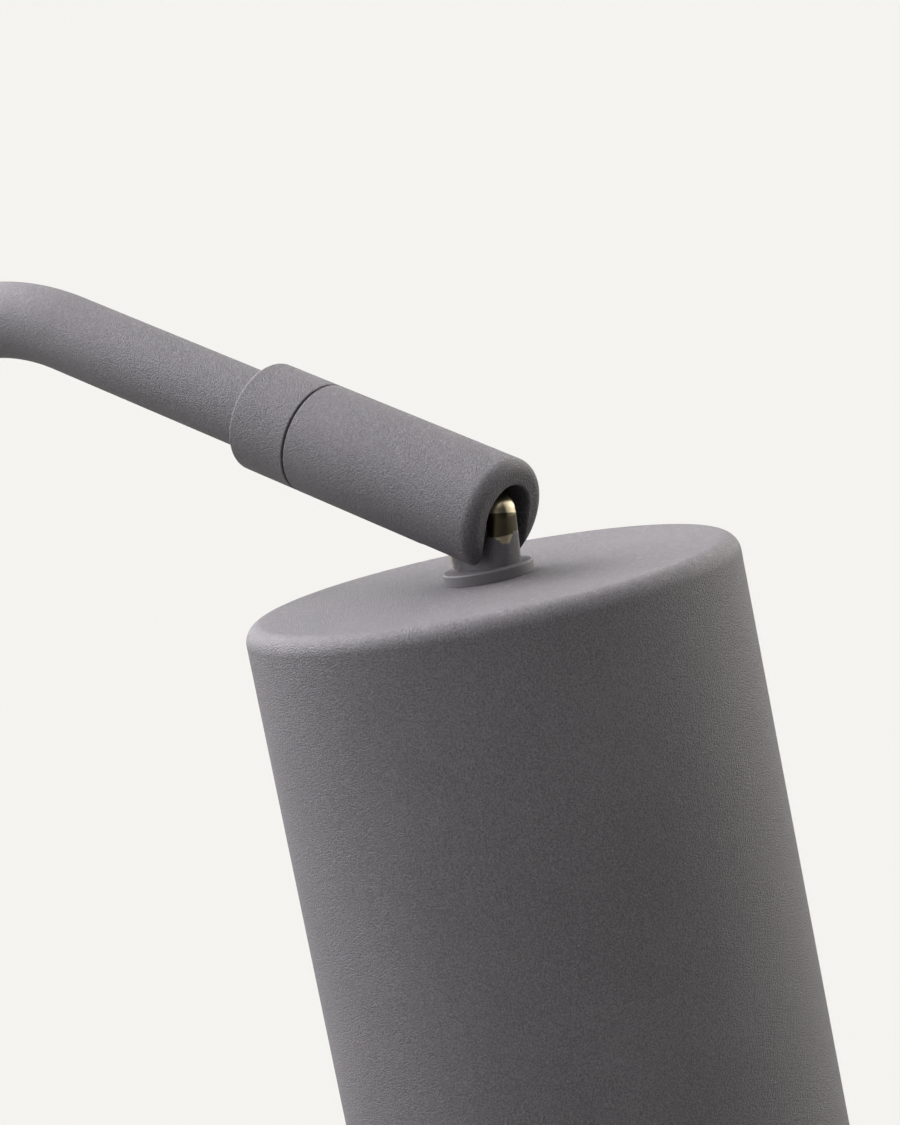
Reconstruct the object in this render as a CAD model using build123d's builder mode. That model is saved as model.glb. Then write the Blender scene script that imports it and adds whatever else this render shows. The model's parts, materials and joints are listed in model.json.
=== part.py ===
from build123d import *

import os
from math import cos, radians, sin

# Architect desk lamp: weighted round base, two tube arms, swivel knuckle and tilting cylinder shade.
#
# Frame: origin on the desk under the centre of the base, +X towards the head, +Z up, millimetres.
# The arms and the head lie in the XZ plane at rest, and every tilt axis is parallel to Y.

# ---------------------------------------------------------------- driving dimensions

# base
base_radius = 110.0
base_height = 20.0
cover_wall = 1.5
cover_edge_radius = 3.0
cover_lift = 1.0
pad_thickness = 2.0
boss_radius = 15.0
boss_height = 12.0
screw_circle_radius = 80.0
screw_radius = 2.0
screw_head_radius = 4.0
screw_head_height = 2.0
screw_sink = 0.2
screw_end_gap = 2.0
stud_radius = 3.6
stud_depth = 6.0
nut_recess_radius = 14.0
nut_recess_depth = 8.5
wiring_depth = 7.5
gland_bore_radius = 3.3
gland_wall = 1.6
gland_flange = 2.6
gland_flange_thickness = 2.4
gland_pocket = 9.0
gland_rise = 1.0
gland_neck = 5.0
terminal_length = 28.0
terminal_width = 17.0
terminal_height = 7.0
terminal_x = -52.0
terminal_hole_radius = 1.7

# push switch in the base
switch_x = 72.0
button_radius = 7.0
button_height = 4.0
button_travel = 2.0
bezel_width = 2.6
bezel_height = 1.2
switch_body_side = 17.0
switch_body_depth = 8.0
switch_floor_thickness = 2.0

# yaw bearing
stem_radius = 6.0
stem_bore_radius = 3.6
bush_wall = 2.0
bush_flange_radius = 13.0
bush_flange_thickness = 0.5
stem_grip = 11.0
stem_foot_gap = 1.0
yaw_washer_radius = 10.5
yaw_washer_thickness = 1.2
yaw_nut_height = 4.6
yaw_nut_flats = 19.0

# clevis joints at the foot and the elbow
clevis_radius = 12.0
clevis_width = 21.0
clevis_gap = 9.2
clevis_washer = 1.0
clevis_washer_radius = 9.0
tongue_eye_radius = 10.0
tongue_neck_width = 13.0
eye_to_bore = 2.0
clevis_bolt_radius = 3.0
bolt_end_gap = 4.0
bolt_head_radius = 7.0
bolt_head_height = 3.2
socket_flats = 4.0
socket_depth = 2.0
foot_reach = 20.0
elbow_reach = 27.0
clevis_collar = 10.0
plug_length = 18.0
turret_collar = 14.0

# elbow knob
knob_radius = 14.0
knob_height = 11.0
knob_flutes = 24
knob_flute_radius = 1.1
knob_gap = 0.4
knob_edge = 0.8
knob_cap = 1.5

# arms
tube_radius = 8.0
tube_wall = 1.2
lower_arm_length = 320.0
lower_arm_lean = 15.0
upper_arm_run = 250.0
upper_arm_rise = 30.0
bend_radius = 64.0
nose_run = 55.0
nose_slope = 9.0
lead_radius = 2.6
lead_end_gap = 2.0
lead_collar_gap = 3.0

# swivel between the arm and the knuckle
collar_radius = 11.0
collar_length = 14.0
collar_edge_radius = 0.8
seam_gap = 0.4
seam_edge = 0.3
tube_seat = 7.5
swivel_flange_gap = 0.4
swivel_flange = 1.5
swivel_stem_radius = 4.0
swivel_stem_bore = 2.5
swivel_washer = 0.6
swivel_nut_height = 4.0
swivel_nut_radius = 5.8
swivel_nut_slot_depth = 1.0
swivel_nut_slot_width = 1.6
swivel_thread_stand = 1.0
stop_pin_radius = 1.0
stop_pin_circle = 7.8
stop_pin_stand = 2.4
swivel_range = 165.0

# knuckle
knuckle_length = 47.1
knuckle_nose_radius = 2.6
knuckle_web = 8.0
slot_width = 12.4
slot_depth = 16.0
pivot_back = 6.3
pivot_drop = 3.95
pivot_radius = 2.0
pivot_head_radius = 3.4
pivot_head_depth = 2.0
pivot_head_sink = 0.6
pivot_socket_flats = 2.5
pivot_socket_depth = 1.4
pivot_blind = 1.6
pivot_washer_radius = 4.6

# tongue of the head
head_lean = 14.5
pivot_to_shade = 10.0
tongue_thickness = 6.4
tongue_depth = 16.4
tongue_top = 6.8
tongue_corner_radius = 2.8
tongue_crown = 2.4
tongue_crown_flat = 3.7
neck_top = 11.3
neck_depth = 13.6
flange_radius = 8.65
flange_thickness = 2.3
flange_edge_radius = 0.45
nipple_radius = 5.0
nipple_bore = 3.0
nipple_length = 17.0
lead_hole_radius = 1.5
lead_hole_height = 5.6

# shade
shade_radius = 47.5
shade_length = 160.0
shade_wall = 1.0
shade_edge_radius = 3.5
shade_lip_width = 1.5
shade_lip_height = 2.4

# lampholder and bulb
mount_washer = 1.0
mount_washer_radius = 9.5
mount_nut_height = 4.0
mount_nut_flats = 14.0
holder_drop = 8.0
holder_cap_height = 18.0
holder_cap_neck = 9.0
holder_cap_skirt = 6.0
holder_cap_roof = 2.5
holder_radius = 20.0
holder_wall = 2.0
holder_length = 32.0
holder_mouth_radius = 15.0
holder_edge_radius = 1.2
insert_height = 7.0
insert_hole_radius = 1.6
contact_radius = 4.0
contact_height = 2.4
screw_shell_wall = 0.4
bulb_cap_radius = 13.2
bulb_cap_length = 24.0
bulb_cap_cone = 5.0
bulb_neck_length = 6.0
bulb_neck_step = 1.0
bulb_radius = 30.0
bulb_length = 82.0
bulb_wall = 1.0
globe_turn = 112.0

# fits
fixed_gap = 0.05
running_gap = 0.05
face_gap = 0.05
clear_gap = 0.5
cut_overrun = 1.0
small_edge = 1.0
nut_corner_ratio = 1.1

# ---------------------------------------------------------------- places worked out from the sizes


def along(start, direction, distance):
    """Point at a distance from start along a direction."""
    return start + direction * distance


boss_top = base_height + boss_height
turret_bottom = boss_top + bush_flange_thickness
turret_top = turret_bottom + turret_collar
foot_pivot = Vector(0, 0, turret_top + foot_reach)

lower_direction = Vector(-sin(radians(lower_arm_lean)), 0, cos(radians(lower_arm_lean)))
elbow_pivot = along(foot_pivot, lower_direction, lower_arm_length)

rise_direction = Vector(cos(radians(upper_arm_rise)), 0, sin(radians(upper_arm_rise)))
nose_direction = Vector(cos(radians(nose_slope)), 0, -sin(radians(nose_slope)))
nose_down = Vector(-sin(radians(nose_slope)), 0, -cos(radians(nose_slope)))
bend_start = along(elbow_pivot, rise_direction, upper_arm_run)
rise_down = Vector(sin(radians(upper_arm_rise)), 0, -cos(radians(upper_arm_rise)))
bend_centre = bend_start + rise_down * bend_radius
bend_middle_angle = radians((90 + upper_arm_rise + 90 - nose_slope) / 2)
bend_middle = bend_centre + Vector(cos(bend_middle_angle), 0, sin(bend_middle_angle)) * bend_radius
bend_end = bend_centre - nose_down * bend_radius

collar_back = along(bend_end, nose_direction, nose_run)
collar_front = along(collar_back, nose_direction, collar_length)
knuckle_back = along(collar_front, nose_direction, seam_gap)
knuckle_front = along(knuckle_back, nose_direction, knuckle_length)
tilt_pivot = knuckle_front - nose_direction * pivot_back + nose_down * pivot_drop

shade_down = Vector(sin(radians(head_lean)), 0, -cos(radians(head_lean)))
shade_top = along(tilt_pivot, shade_down, pivot_to_shade)

# planes: z runs along the piece's own axis, and y is the row's Y
nose_plane = Plane(origin=knuckle_front, x_dir=nose_down, z_dir=nose_direction)
head_front = Vector(cos(radians(head_lean)), 0, sin(radians(head_lean)))
head_plane = Plane(origin=shade_top, x_dir=head_front, z_dir=shade_down * -1)
swing_plane = Plane(origin=tilt_pivot, x_dir=head_front, z_dir=(0, -1, 0))

tube_inner_radius = tube_radius - tube_wall
swivel_flange_radius = tube_inner_radius - swivel_flange_gap
plug_radius = tube_inner_radius - fixed_gap
tongue_plate = clevis_gap - 2 * clevis_washer - 2 * face_gap


def member_plane(pivot, direction):
    """Plane at a pivot whose z runs along the member, with y on the hinge axis."""
    return Plane(origin=pivot, x_dir=Vector(0, 1, 0).cross(direction), z_dir=direction)


def side_plane(pivot, direction):
    """Plane through a pivot in the swing plane, whose y runs along the member."""
    return Plane(origin=pivot, x_dir=direction.cross(Vector(0, -1, 0)), z_dir=(0, -1, 0))


def hinge_plane(pivot, offset, outward=-1):
    """Plane square to the hinge axis, at a distance from the swing plane, facing outwards."""
    origin = Vector(pivot.X, offset * outward, pivot.Z)
    return Plane(origin=origin, x_dir=(1, 0, 0), z_dir=(0, outward, 0))


# ---------------------------------------------------------------- shared shapes


def disc(plane, radius, height, bore=0.0):
    """Round disc or ring that stands on a plane."""
    with BuildPart() as made:
        with BuildSketch(plane):
            Circle(radius)
            if bore:
                Circle(bore, mode=Mode.SUBTRACT)
        extrude(amount=height)
    return made.part


def hexagon(plane, flats, height, bore):
    """Hexagon nut that stands on a plane, with its corners turned off on both faces."""
    with BuildPart() as made:
        with BuildSketch(plane):
            RegularPolygon(flats / 2, 6, major_radius=False)
            Circle(bore, mode=Mode.SUBTRACT)
        extrude(amount=height)
        with BuildSketch(plane):
            Circle(flats / 2 * nut_corner_ratio)
        extrude(amount=height, mode=Mode.INTERSECT)
    return made.part


def clevis_fork(pivot, direction, reach, collar, collar_size, plug):
    """Slotted round bar about a pivot, with a collar and, where asked, a plug for the tube."""
    across = member_plane(pivot, direction)
    side = side_plane(pivot, direction)
    with BuildPart() as made:
        with BuildSketch(across.offset(-clevis_radius)):
            Circle(clevis_radius)
        extrude(amount=clevis_radius + reach)
        with BuildSketch(side):
            Circle(clevis_radius)
            with Locations((0, reach / 2)):
                Rectangle(2 * clevis_radius, reach)
        extrude(amount=clevis_width / 2, both=True, mode=Mode.INTERSECT)
        with BuildSketch(across.offset(reach)):
            Circle(collar_size)
        extrude(amount=collar)
        fillet(made.faces().sort_by(Axis(pivot, direction))[-1].edges(), collar_edge_radius)
        with BuildSketch(side):
            Circle(tongue_eye_radius + clear_gap)
            with Locations((0, (reach - clevis_radius) / 2)):
                Rectangle(2 * (clevis_radius + cut_overrun), reach + clevis_radius)
        extrude(amount=clevis_gap / 2, both=True, mode=Mode.SUBTRACT)
        if plug:
            with BuildSketch(across.offset(reach + collar)):
                Circle(plug_radius)
            extrude(amount=plug)
        with BuildSketch(across.offset(clevis_radius - cut_overrun)):
            Circle(stem_bore_radius)
        extrude(amount=reach + collar + plug, mode=Mode.SUBTRACT)
        with BuildSketch(side):
            Circle(clevis_bolt_radius + fixed_gap)
        extrude(amount=clevis_width, both=True, mode=Mode.SUBTRACT)
    return made.part


def clevis_tongue(pivot, direction, reach):
    """Flat eye about a pivot, with a neck, a collar and a plug for the tube."""
    across = member_plane(pivot, direction)
    side = side_plane(pivot, direction)
    with BuildPart() as made:
        with BuildSketch(side):
            Circle(tongue_eye_radius)
            with Locations((0, reach / 2)):
                Rectangle(tongue_neck_width, reach)
        extrude(amount=tongue_plate / 2, both=True)
        with BuildSketch(across.offset(reach)):
            Circle(collar_radius)
        extrude(amount=clevis_collar)
        collar_faces = made.faces().filter_by(GeomType.CYLINDER).sort_by(Axis(pivot, direction))
        fillet(collar_faces[-1].edges().filter_by(GeomType.CIRCLE), collar_edge_radius)
        with BuildSketch(across.offset(reach + clevis_collar)):
            Circle(plug_radius)
        extrude(amount=plug_length)
        with BuildSketch(across.offset(tongue_eye_radius + eye_to_bore)):
            Circle(lead_radius)
        extrude(amount=reach + clevis_collar + plug_length, mode=Mode.SUBTRACT)
        with BuildSketch(side):
            Circle(clevis_bolt_radius + running_gap)
        extrude(amount=tongue_plate, both=True, mode=Mode.SUBTRACT)
    return made.part


def clevis_washers(pivot):
    """Two friction washers, one on each side of the tongue."""
    with BuildPart() as made:
        for outward in (-1, 1):
            with BuildSketch(hinge_plane(pivot, tongue_plate / 2 + face_gap, outward)):
                Circle(clevis_washer_radius)
                Circle(clevis_bolt_radius + fixed_gap, mode=Mode.SUBTRACT)
            extrude(amount=clevis_washer)
    return made.part


def clevis_bolt(pivot, head_side, shank):
    """Low-headed socket bolt, its head on one side of the clevis."""
    seat = hinge_plane(pivot, clevis_width / 2, head_side)
    with BuildPart() as made:
        with BuildSketch(seat):
            Circle(bolt_head_radius)
        extrude(amount=bolt_head_height)
        fillet(made.faces().sort_by(Axis((0, 0, 0), (0, head_side, 0)))[-1].edges(), bolt_head_height / 2)
        with BuildSketch(seat.offset(bolt_head_height - socket_depth)):
            RegularPolygon(socket_flats / 2, 6, major_radius=False)
        extrude(amount=socket_depth, mode=Mode.SUBTRACT)
        with BuildSketch(seat):
            Circle(clevis_bolt_radius)
        extrude(amount=-shank)
    return made.part


def arm_tube(path_edges, start, direction):
    """Round tube swept along a path."""
    with BuildPart() as made:
        with BuildSketch(Plane(origin=start, z_dir=direction)):
            Circle(tube_radius)
            Circle(tube_inner_radius, mode=Mode.SUBTRACT)
        sweep(path=path_edges)
    return made.part


def lead_in_tube(path_edges, start, direction):
    """Round two-core lead along the middle of a tube."""
    with BuildPart() as made:
        with BuildSketch(Plane(origin=start, z_dir=direction)):
            Circle(lead_radius)
        sweep(path=path_edges)
    return made.part


pieces = {}

# ---------------------------------------------------------------- base

cover_inner_radius = base_radius - cover_wall
cover_ceiling = base_height - cover_wall
weight_radius = cover_inner_radius - clear_gap
bush_radius = stem_radius + running_gap + bush_wall
recess_top = pad_thickness + nut_recess_depth
gland_radius = gland_bore_radius + gland_wall
wiring_floor = cover_ceiling - wiring_depth
gland_height = (pad_thickness + cover_ceiling) / 2 + gland_rise
screw_angles = (90, 210, 330)
screw_places = [
    (screw_circle_radius * cos(radians(angle)), screw_circle_radius * sin(radians(angle)))
    for angle in screw_angles
]
bezel_radius = button_radius + bezel_width
switch_floor = cover_ceiling - switch_body_depth
channel_width = 2 * gland_radius + 2 * clear_gap
lead_channel_width = 2 * lead_radius + 4 * clear_gap

pieces["base_pad"] = disc(Plane.XY, weight_radius, pad_thickness)

with BuildPart() as base_cover:
    with BuildSketch(Plane.XY.offset(cover_lift)):
        Circle(base_radius)
    extrude(amount=base_height - cover_lift)
    fillet(base_cover.faces().sort_by(Axis.Z)[-1].edges(), cover_edge_radius)
    with BuildSketch(Plane.XY.offset(cover_lift)):
        Circle(cover_inner_radius)
    extrude(amount=cover_ceiling - cover_lift, mode=Mode.SUBTRACT)
    with BuildSketch(Plane.XY.offset(cover_ceiling - stud_depth)):
        with Locations(*screw_places):
            Circle(stud_radius)
            Circle(screw_radius + fixed_gap, mode=Mode.SUBTRACT)
    extrude(amount=stud_depth)
    with BuildSketch(Plane.XY.offset(cover_ceiling)):
        Circle(bush_radius + fixed_gap)
        with Locations((switch_x, 0)):
            Circle(bezel_radius - bezel_width / 2)
    extrude(amount=cover_wall, mode=Mode.SUBTRACT)
    with BuildSketch(Plane.YZ.offset(-base_radius)):
        with Locations((0, gland_height)):
            Circle(gland_radius + fixed_gap)
    extrude(amount=2 * cover_wall, mode=Mode.SUBTRACT)
pieces["base_cover"] = base_cover.part

with BuildPart() as base_weight:
    with BuildSketch(Plane.XY.offset(pad_thickness)):
        Circle(weight_radius)
    extrude(amount=cover_ceiling - pad_thickness)
    with BuildSketch(Plane.XY.offset(pad_thickness)):
        Circle(nut_recess_radius)
    extrude(amount=nut_recess_depth, mode=Mode.SUBTRACT)
    with BuildSketch(Plane.XY.offset(pad_thickness)):
        Circle(bush_radius + fixed_gap)
        with Locations(*screw_places):
            Circle(screw_radius + clear_gap)
    extrude(amount=base_height, mode=Mode.SUBTRACT)
    with BuildSketch(Plane.XY.offset(cover_ceiling - stud_depth - clear_gap)):
        with Locations(*screw_places):
            Circle(stud_radius + clear_gap)
    extrude(amount=base_height, mode=Mode.SUBTRACT)
    with BuildSketch(Plane.XY.offset(pad_thickness)):
        with Locations(*screw_places):
            Circle(screw_head_radius + clear_gap)
    extrude(amount=screw_sink + screw_head_height + clear_gap, mode=Mode.SUBTRACT)
    with BuildSketch(Plane.XY.offset(wiring_floor)):
        with Locations((-base_radius / 2, 0)):
            Rectangle(base_radius, channel_width)
        with Locations((terminal_x, 0)):
            Rectangle(terminal_length + 2 * clear_gap, terminal_width + 2 * clear_gap)
        with Locations((switch_x / 2, 0)):
            Rectangle(switch_x, lead_channel_width)
    extrude(amount=wiring_depth, mode=Mode.SUBTRACT)
    with BuildSketch(Plane.XY.offset(switch_floor - clear_gap)):
        with Locations((switch_x, 0)):
            Rectangle(switch_body_side + 2 * clear_gap, switch_body_side + 2 * clear_gap)
    extrude(amount=base_height, mode=Mode.SUBTRACT)
    with BuildSketch(Plane.XY.offset(gland_height - gland_radius - clear_gap)):
        with Locations((-base_radius, 0)):
            Rectangle(2 * gland_pocket, channel_width)
    extrude(amount=base_height, mode=Mode.SUBTRACT)
pieces["base_weight"] = base_weight.part

with BuildPart() as base_boss:
    with BuildSketch(Plane.XY.offset(base_height)):
        Circle(boss_radius)
    extrude(amount=boss_height)
    fillet(base_boss.faces().sort_by(Axis.Z)[-1].edges(), seam_edge)
    with BuildSketch(Plane.XY.offset(base_height)):
        Circle(bush_radius + fixed_gap)
    extrude(amount=boss_height, mode=Mode.SUBTRACT)
pieces["base_boss"] = base_boss.part

with BuildPart() as yaw_bush:
    with BuildSketch(Plane.XY.offset(recess_top)):
        Circle(bush_radius)
    extrude(amount=boss_top - recess_top)
    with BuildSketch(Plane.XY.offset(boss_top)):
        Circle(bush_flange_radius)
    extrude(amount=bush_flange_thickness - face_gap)
    with BuildSketch(Plane.XY.offset(recess_top)):
        Circle(stem_radius + running_gap)
    extrude(amount=base_height + boss_height, mode=Mode.SUBTRACT)
pieces["yaw_bush"] = yaw_bush.part

with BuildPart() as base_screws:
    with BuildSketch(Plane.XY.offset(pad_thickness + screw_sink)):
        with Locations(*screw_places):
            Circle(screw_head_radius)
    extrude(amount=screw_head_height)
    with BuildSketch(Plane.XY.offset(pad_thickness + screw_sink)):
        with Locations(*screw_places):
            Circle(screw_radius)
    extrude(amount=cover_ceiling - pad_thickness - screw_end_gap)
pieces["base_screws"] = base_screws.part

# ---------------------------------------------------------------- cable entry, terminals and switch

with BuildPart() as cable_gland:
    with BuildSketch(Plane.YZ.offset(-base_radius - running_gap)):
        with Locations((0, gland_height)):
            Circle(gland_radius + gland_flange)
    extrude(amount=-gland_flange_thickness)
    fillet(cable_gland.faces().sort_by(Axis.X)[0].edges(), gland_flange_thickness / 3)
    with BuildSketch(Plane.YZ.offset(-base_radius - running_gap)):
        with Locations((0, gland_height)):
            Circle(gland_radius)
    extrude(amount=gland_neck)
    with BuildSketch(Plane.YZ.offset(-base_radius - 2 * gland_flange_thickness)):
        with Locations((0, gland_height)):
            Circle(gland_bore_radius)
    extrude(amount=2 * gland_flange_thickness + 2 * gland_neck, mode=Mode.SUBTRACT)
pieces["cable_gland"] = cable_gland.part

with BuildPart() as terminal_block:
    with BuildSketch(Plane.XY.offset(wiring_floor)):
        with Locations((terminal_x, 0)):
            Rectangle(terminal_length, terminal_width)
    extrude(amount=terminal_height)
    fillet(terminal_block.edges().filter_by(Axis.X), small_edge)
    with BuildSketch(Plane.YZ.offset(terminal_x - terminal_length / 2)):
        for y in (-terminal_width / 4, terminal_width / 4):
            with Locations((y, wiring_floor + terminal_height / 2)):
                Circle(terminal_hole_radius)
    extrude(amount=terminal_length, mode=Mode.SUBTRACT)
pieces["terminal_block"] = terminal_block.part

lead_height = wiring_floor + lead_radius + clear_gap
lead_start_x = switch_x - switch_body_side / 2 - 2 * clear_gap
lead_end_x = bush_radius + 2 * clear_gap
with BuildPart() as switch_lead:
    with BuildSketch(Plane.YZ.offset(lead_end_x)):
        with Locations((0, lead_height)):
            Circle(lead_radius)
    extrude(amount=lead_start_x - lead_end_x)
pieces["switch_lead"] = switch_lead.part

with BuildPart() as switch_housing:
    with BuildSketch(Plane.XY.offset(switch_floor)):
        with Locations((switch_x, 0)):
            Rectangle(switch_body_side, switch_body_side)
    extrude(amount=switch_body_depth - fixed_gap)
    fillet(switch_housing.edges().filter_by(Axis.Z), small_edge)
    with BuildSketch(Plane.XY.offset(switch_floor + switch_floor_thickness)):
        with Locations((switch_x, 0)):
            Circle(button_radius + 2 * running_gap)
    extrude(amount=switch_body_depth, mode=Mode.SUBTRACT)
pieces["switch_housing"] = switch_housing.part

with BuildPart() as switch_bezel:
    with BuildSketch(Plane.XY.offset(base_height)):
        with Locations((switch_x, 0)):
            Circle(bezel_radius)
    extrude(amount=bezel_height)
    fillet(switch_bezel.faces().sort_by(Axis.Z)[-1].edges(), bezel_height / 2)
    with BuildSketch(Plane.XY.offset(cover_ceiling)):
        with Locations((switch_x, 0)):
            Circle(bezel_radius - bezel_width / 2 - fixed_gap)
    extrude(amount=cover_wall + bezel_height / 3)
    with BuildSketch(Plane.XY.offset(cover_ceiling)):
        with Locations((switch_x, 0)):
            Circle(button_radius + 2 * running_gap)
    extrude(amount=base_height, mode=Mode.SUBTRACT)
pieces["switch_bezel"] = switch_bezel.part

button_bottom = switch_floor + switch_floor_thickness + button_travel + clear_gap
with BuildPart() as switch_button:
    with BuildSketch(Plane.XY.offset(button_bottom)):
        with Locations((switch_x, 0)):
            Circle(button_radius)
    extrude(amount=base_height + button_height - button_bottom)
    fillet(switch_button.faces().sort_by(Axis.Z)[-1].edges(), small_edge)
pieces["switch_button"] = switch_button.part

# ---------------------------------------------------------------- turret

with BuildPart() as turret_stem:
    with BuildSketch(Plane.XY.offset(pad_thickness + stem_foot_gap)):
        Circle(stem_radius)
        Circle(stem_bore_radius, mode=Mode.SUBTRACT)
    extrude(amount=turret_bottom + stem_grip - pad_thickness - stem_foot_gap)
pieces["turret_stem"] = turret_stem.part

pieces["yaw_washer"] = disc(
    Plane.XY.offset(recess_top - face_gap), yaw_washer_radius, -yaw_washer_thickness, stem_radius + fixed_gap
)
nut_top = recess_top - face_gap - yaw_washer_thickness
pieces["yaw_nut"] = hexagon(Plane.XY.offset(nut_top), yaw_nut_flats, -yaw_nut_height, stem_radius + fixed_gap)

down = Vector(0, 0, -1)
with BuildPart() as turret_fork:
    add(clevis_fork(foot_pivot, down, foot_reach, turret_collar, boss_radius, 0))
    with BuildSketch(Plane.XY.offset(turret_bottom)):
        Circle(stem_radius + fixed_gap)
    extrude(amount=stem_grip + fixed_gap, mode=Mode.SUBTRACT)
pieces["turret_fork"] = turret_fork.part
pieces["foot_washers"] = clevis_washers(foot_pivot)

with BuildPart() as foot_bolt:
    add(clevis_bolt(foot_pivot, -1, clevis_width - bolt_end_gap))
pieces["foot_bolt"] = foot_bolt.part
with BuildPart() as foot_nut:
    with BuildSketch(hinge_plane(foot_pivot, clevis_width / 2, 1)):
        Circle(bolt_head_radius)
    extrude(amount=bolt_head_height)
    fillet(foot_nut.faces().sort_by(Axis.Y)[-1].edges(), bolt_head_height / 2)
pieces["foot_nut"] = foot_nut.part

# ---------------------------------------------------------------- lower arm

pieces["lower_tongue"] = clevis_tongue(foot_pivot, lower_direction, foot_reach)
pieces["elbow_fork"] = clevis_fork(
    elbow_pivot, lower_direction * -1, elbow_reach, clevis_collar, clevis_radius, plug_length
)

lower_tube_start = along(foot_pivot, lower_direction, foot_reach + clevis_collar)
lower_tube_end = along(elbow_pivot, lower_direction, -elbow_reach - clevis_collar)
with BuildLine() as lower_path:
    Line(lower_tube_start, lower_tube_end)
pieces["lower_tube"] = arm_tube(lower_path.line, lower_tube_start, lower_direction)

lead_margin = plug_length + lead_end_gap
with BuildLine() as lower_lead_path:
    Line(
        along(lower_tube_start, lower_direction, lead_margin),
        along(lower_tube_end, lower_direction, -lead_margin),
    )
pieces["lower_lead"] = lead_in_tube(lower_lead_path.line, lower_lead_path.line @ 0, lower_direction)

pieces["elbow_washers"] = clevis_washers(elbow_pivot)
elbow_bolt_shank = clevis_width + knob_gap + knob_height - knob_cap - clear_gap
pieces["elbow_bolt"] = clevis_bolt(elbow_pivot, 1, elbow_bolt_shank)

with BuildPart() as elbow_knob:
    with BuildSketch(hinge_plane(elbow_pivot, clevis_width / 2 + knob_gap)):
        Circle(knob_radius)
    extrude(amount=knob_height)
    chamfer(elbow_knob.edges(), knob_edge)
    with BuildSketch(hinge_plane(elbow_pivot, clevis_width / 2 + knob_gap)):
        with PolarLocations(knob_radius + knob_flute_radius / 3, knob_flutes):
            Circle(knob_flute_radius)
    extrude(amount=knob_height, mode=Mode.SUBTRACT)
    with BuildSketch(hinge_plane(elbow_pivot, clevis_width / 2 + knob_gap)):
        Circle(clevis_bolt_radius + running_gap)
    extrude(amount=knob_height - knob_cap, mode=Mode.SUBTRACT)
pieces["elbow_knob"] = elbow_knob.part

# ---------------------------------------------------------------- upper arm

pieces["upper_tongue"] = clevis_tongue(elbow_pivot, rise_direction, elbow_reach)

upper_tube_start = along(elbow_pivot, rise_direction, elbow_reach + clevis_collar)
with BuildLine() as upper_path:
    Line(upper_tube_start, bend_start)
    ThreePointArc(bend_start, bend_middle, bend_end)
    Line(bend_end, along(collar_back, nose_direction, tube_seat))
pieces["upper_tube"] = arm_tube(upper_path.wires()[0], upper_tube_start, rise_direction)

upper_lead_start = along(upper_tube_start, rise_direction, lead_margin)
with BuildLine() as upper_lead_path:
    Line(upper_lead_start, bend_start)
    ThreePointArc(bend_start, bend_middle, bend_end)
    Line(bend_end, along(collar_back, nose_direction, tube_seat - lead_collar_gap))
pieces["upper_lead"] = lead_in_tube(upper_lead_path.wires()[0], upper_lead_start, rise_direction)

seam_depth = knuckle_length + seam_gap
collar_wall = collar_length - tube_seat - swivel_flange
with BuildPart() as swivel_collar:
    with BuildSketch(nose_plane.offset(-seam_depth - collar_length)):
        Circle(collar_radius)
    extrude(amount=collar_length)
    along_nose = Axis(knuckle_front, nose_direction)
    fillet(swivel_collar.faces().sort_by(along_nose)[0].edges(), collar_edge_radius)
    fillet(swivel_collar.faces().sort_by(along_nose)[-1].edges(), seam_edge)
    with BuildSketch(nose_plane.offset(-seam_depth - collar_length)):
        Circle(tube_radius + fixed_gap)
    extrude(amount=tube_seat + swivel_flange, mode=Mode.SUBTRACT)
    with BuildSketch(nose_plane.offset(-seam_depth - collar_length)):
        Circle(swivel_stem_radius + fixed_gap)
    extrude(amount=collar_length, mode=Mode.SUBTRACT)
    with BuildSketch(nose_plane.offset(-seam_depth - collar_wall / 2)):
        with Locations((-stop_pin_circle, 0)):
            Circle(stop_pin_radius + fixed_gap)
    extrude(amount=collar_length, mode=Mode.SUBTRACT)
pieces["swivel_collar"] = swivel_collar.part

swivel_reach = seam_gap + knuckle_web + swivel_washer + swivel_nut_height + swivel_thread_stand
with BuildPart() as swivel_stem:
    with BuildSketch(nose_plane.offset(-seam_depth - collar_wall)):
        Circle(swivel_flange_radius)
    extrude(amount=-swivel_flange)
    with BuildSketch(nose_plane.offset(-seam_depth - collar_wall)):
        Circle(swivel_stem_radius)
    extrude(amount=collar_wall + swivel_reach)
    with BuildSketch(nose_plane.offset(-seam_depth - collar_length)):
        Circle(swivel_stem_bore)
    extrude(amount=collar_length + swivel_reach, mode=Mode.SUBTRACT)
pieces["swivel_stem"] = swivel_stem.part

with BuildPart() as stop_pin:
    with BuildSketch(nose_plane.offset(-seam_depth - collar_wall / 2)):
        with Locations((-stop_pin_circle, 0)):
            Circle(stop_pin_radius)
    extrude(amount=collar_wall / 2 + seam_gap + stop_pin_stand)
pieces["stop_pin"] = stop_pin.part

web_front = nose_plane.offset(-knuckle_length + knuckle_web + face_gap)
pieces["swivel_washer"] = disc(
    web_front, swivel_nut_radius, swivel_washer, swivel_stem_radius + fixed_gap
)
with BuildPart() as swivel_nut:
    with BuildSketch(web_front.offset(swivel_washer)):
        Circle(swivel_nut_radius)
        Circle(swivel_stem_radius + fixed_gap, mode=Mode.SUBTRACT)
        with PolarLocations(swivel_nut_radius, 4):
            Rectangle(2 * swivel_nut_slot_depth, swivel_nut_slot_width, mode=Mode.SUBTRACT)
    extrude(amount=swivel_nut_height)
pieces["swivel_nut"] = swivel_nut.part

# ---------------------------------------------------------------- knuckle

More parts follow.
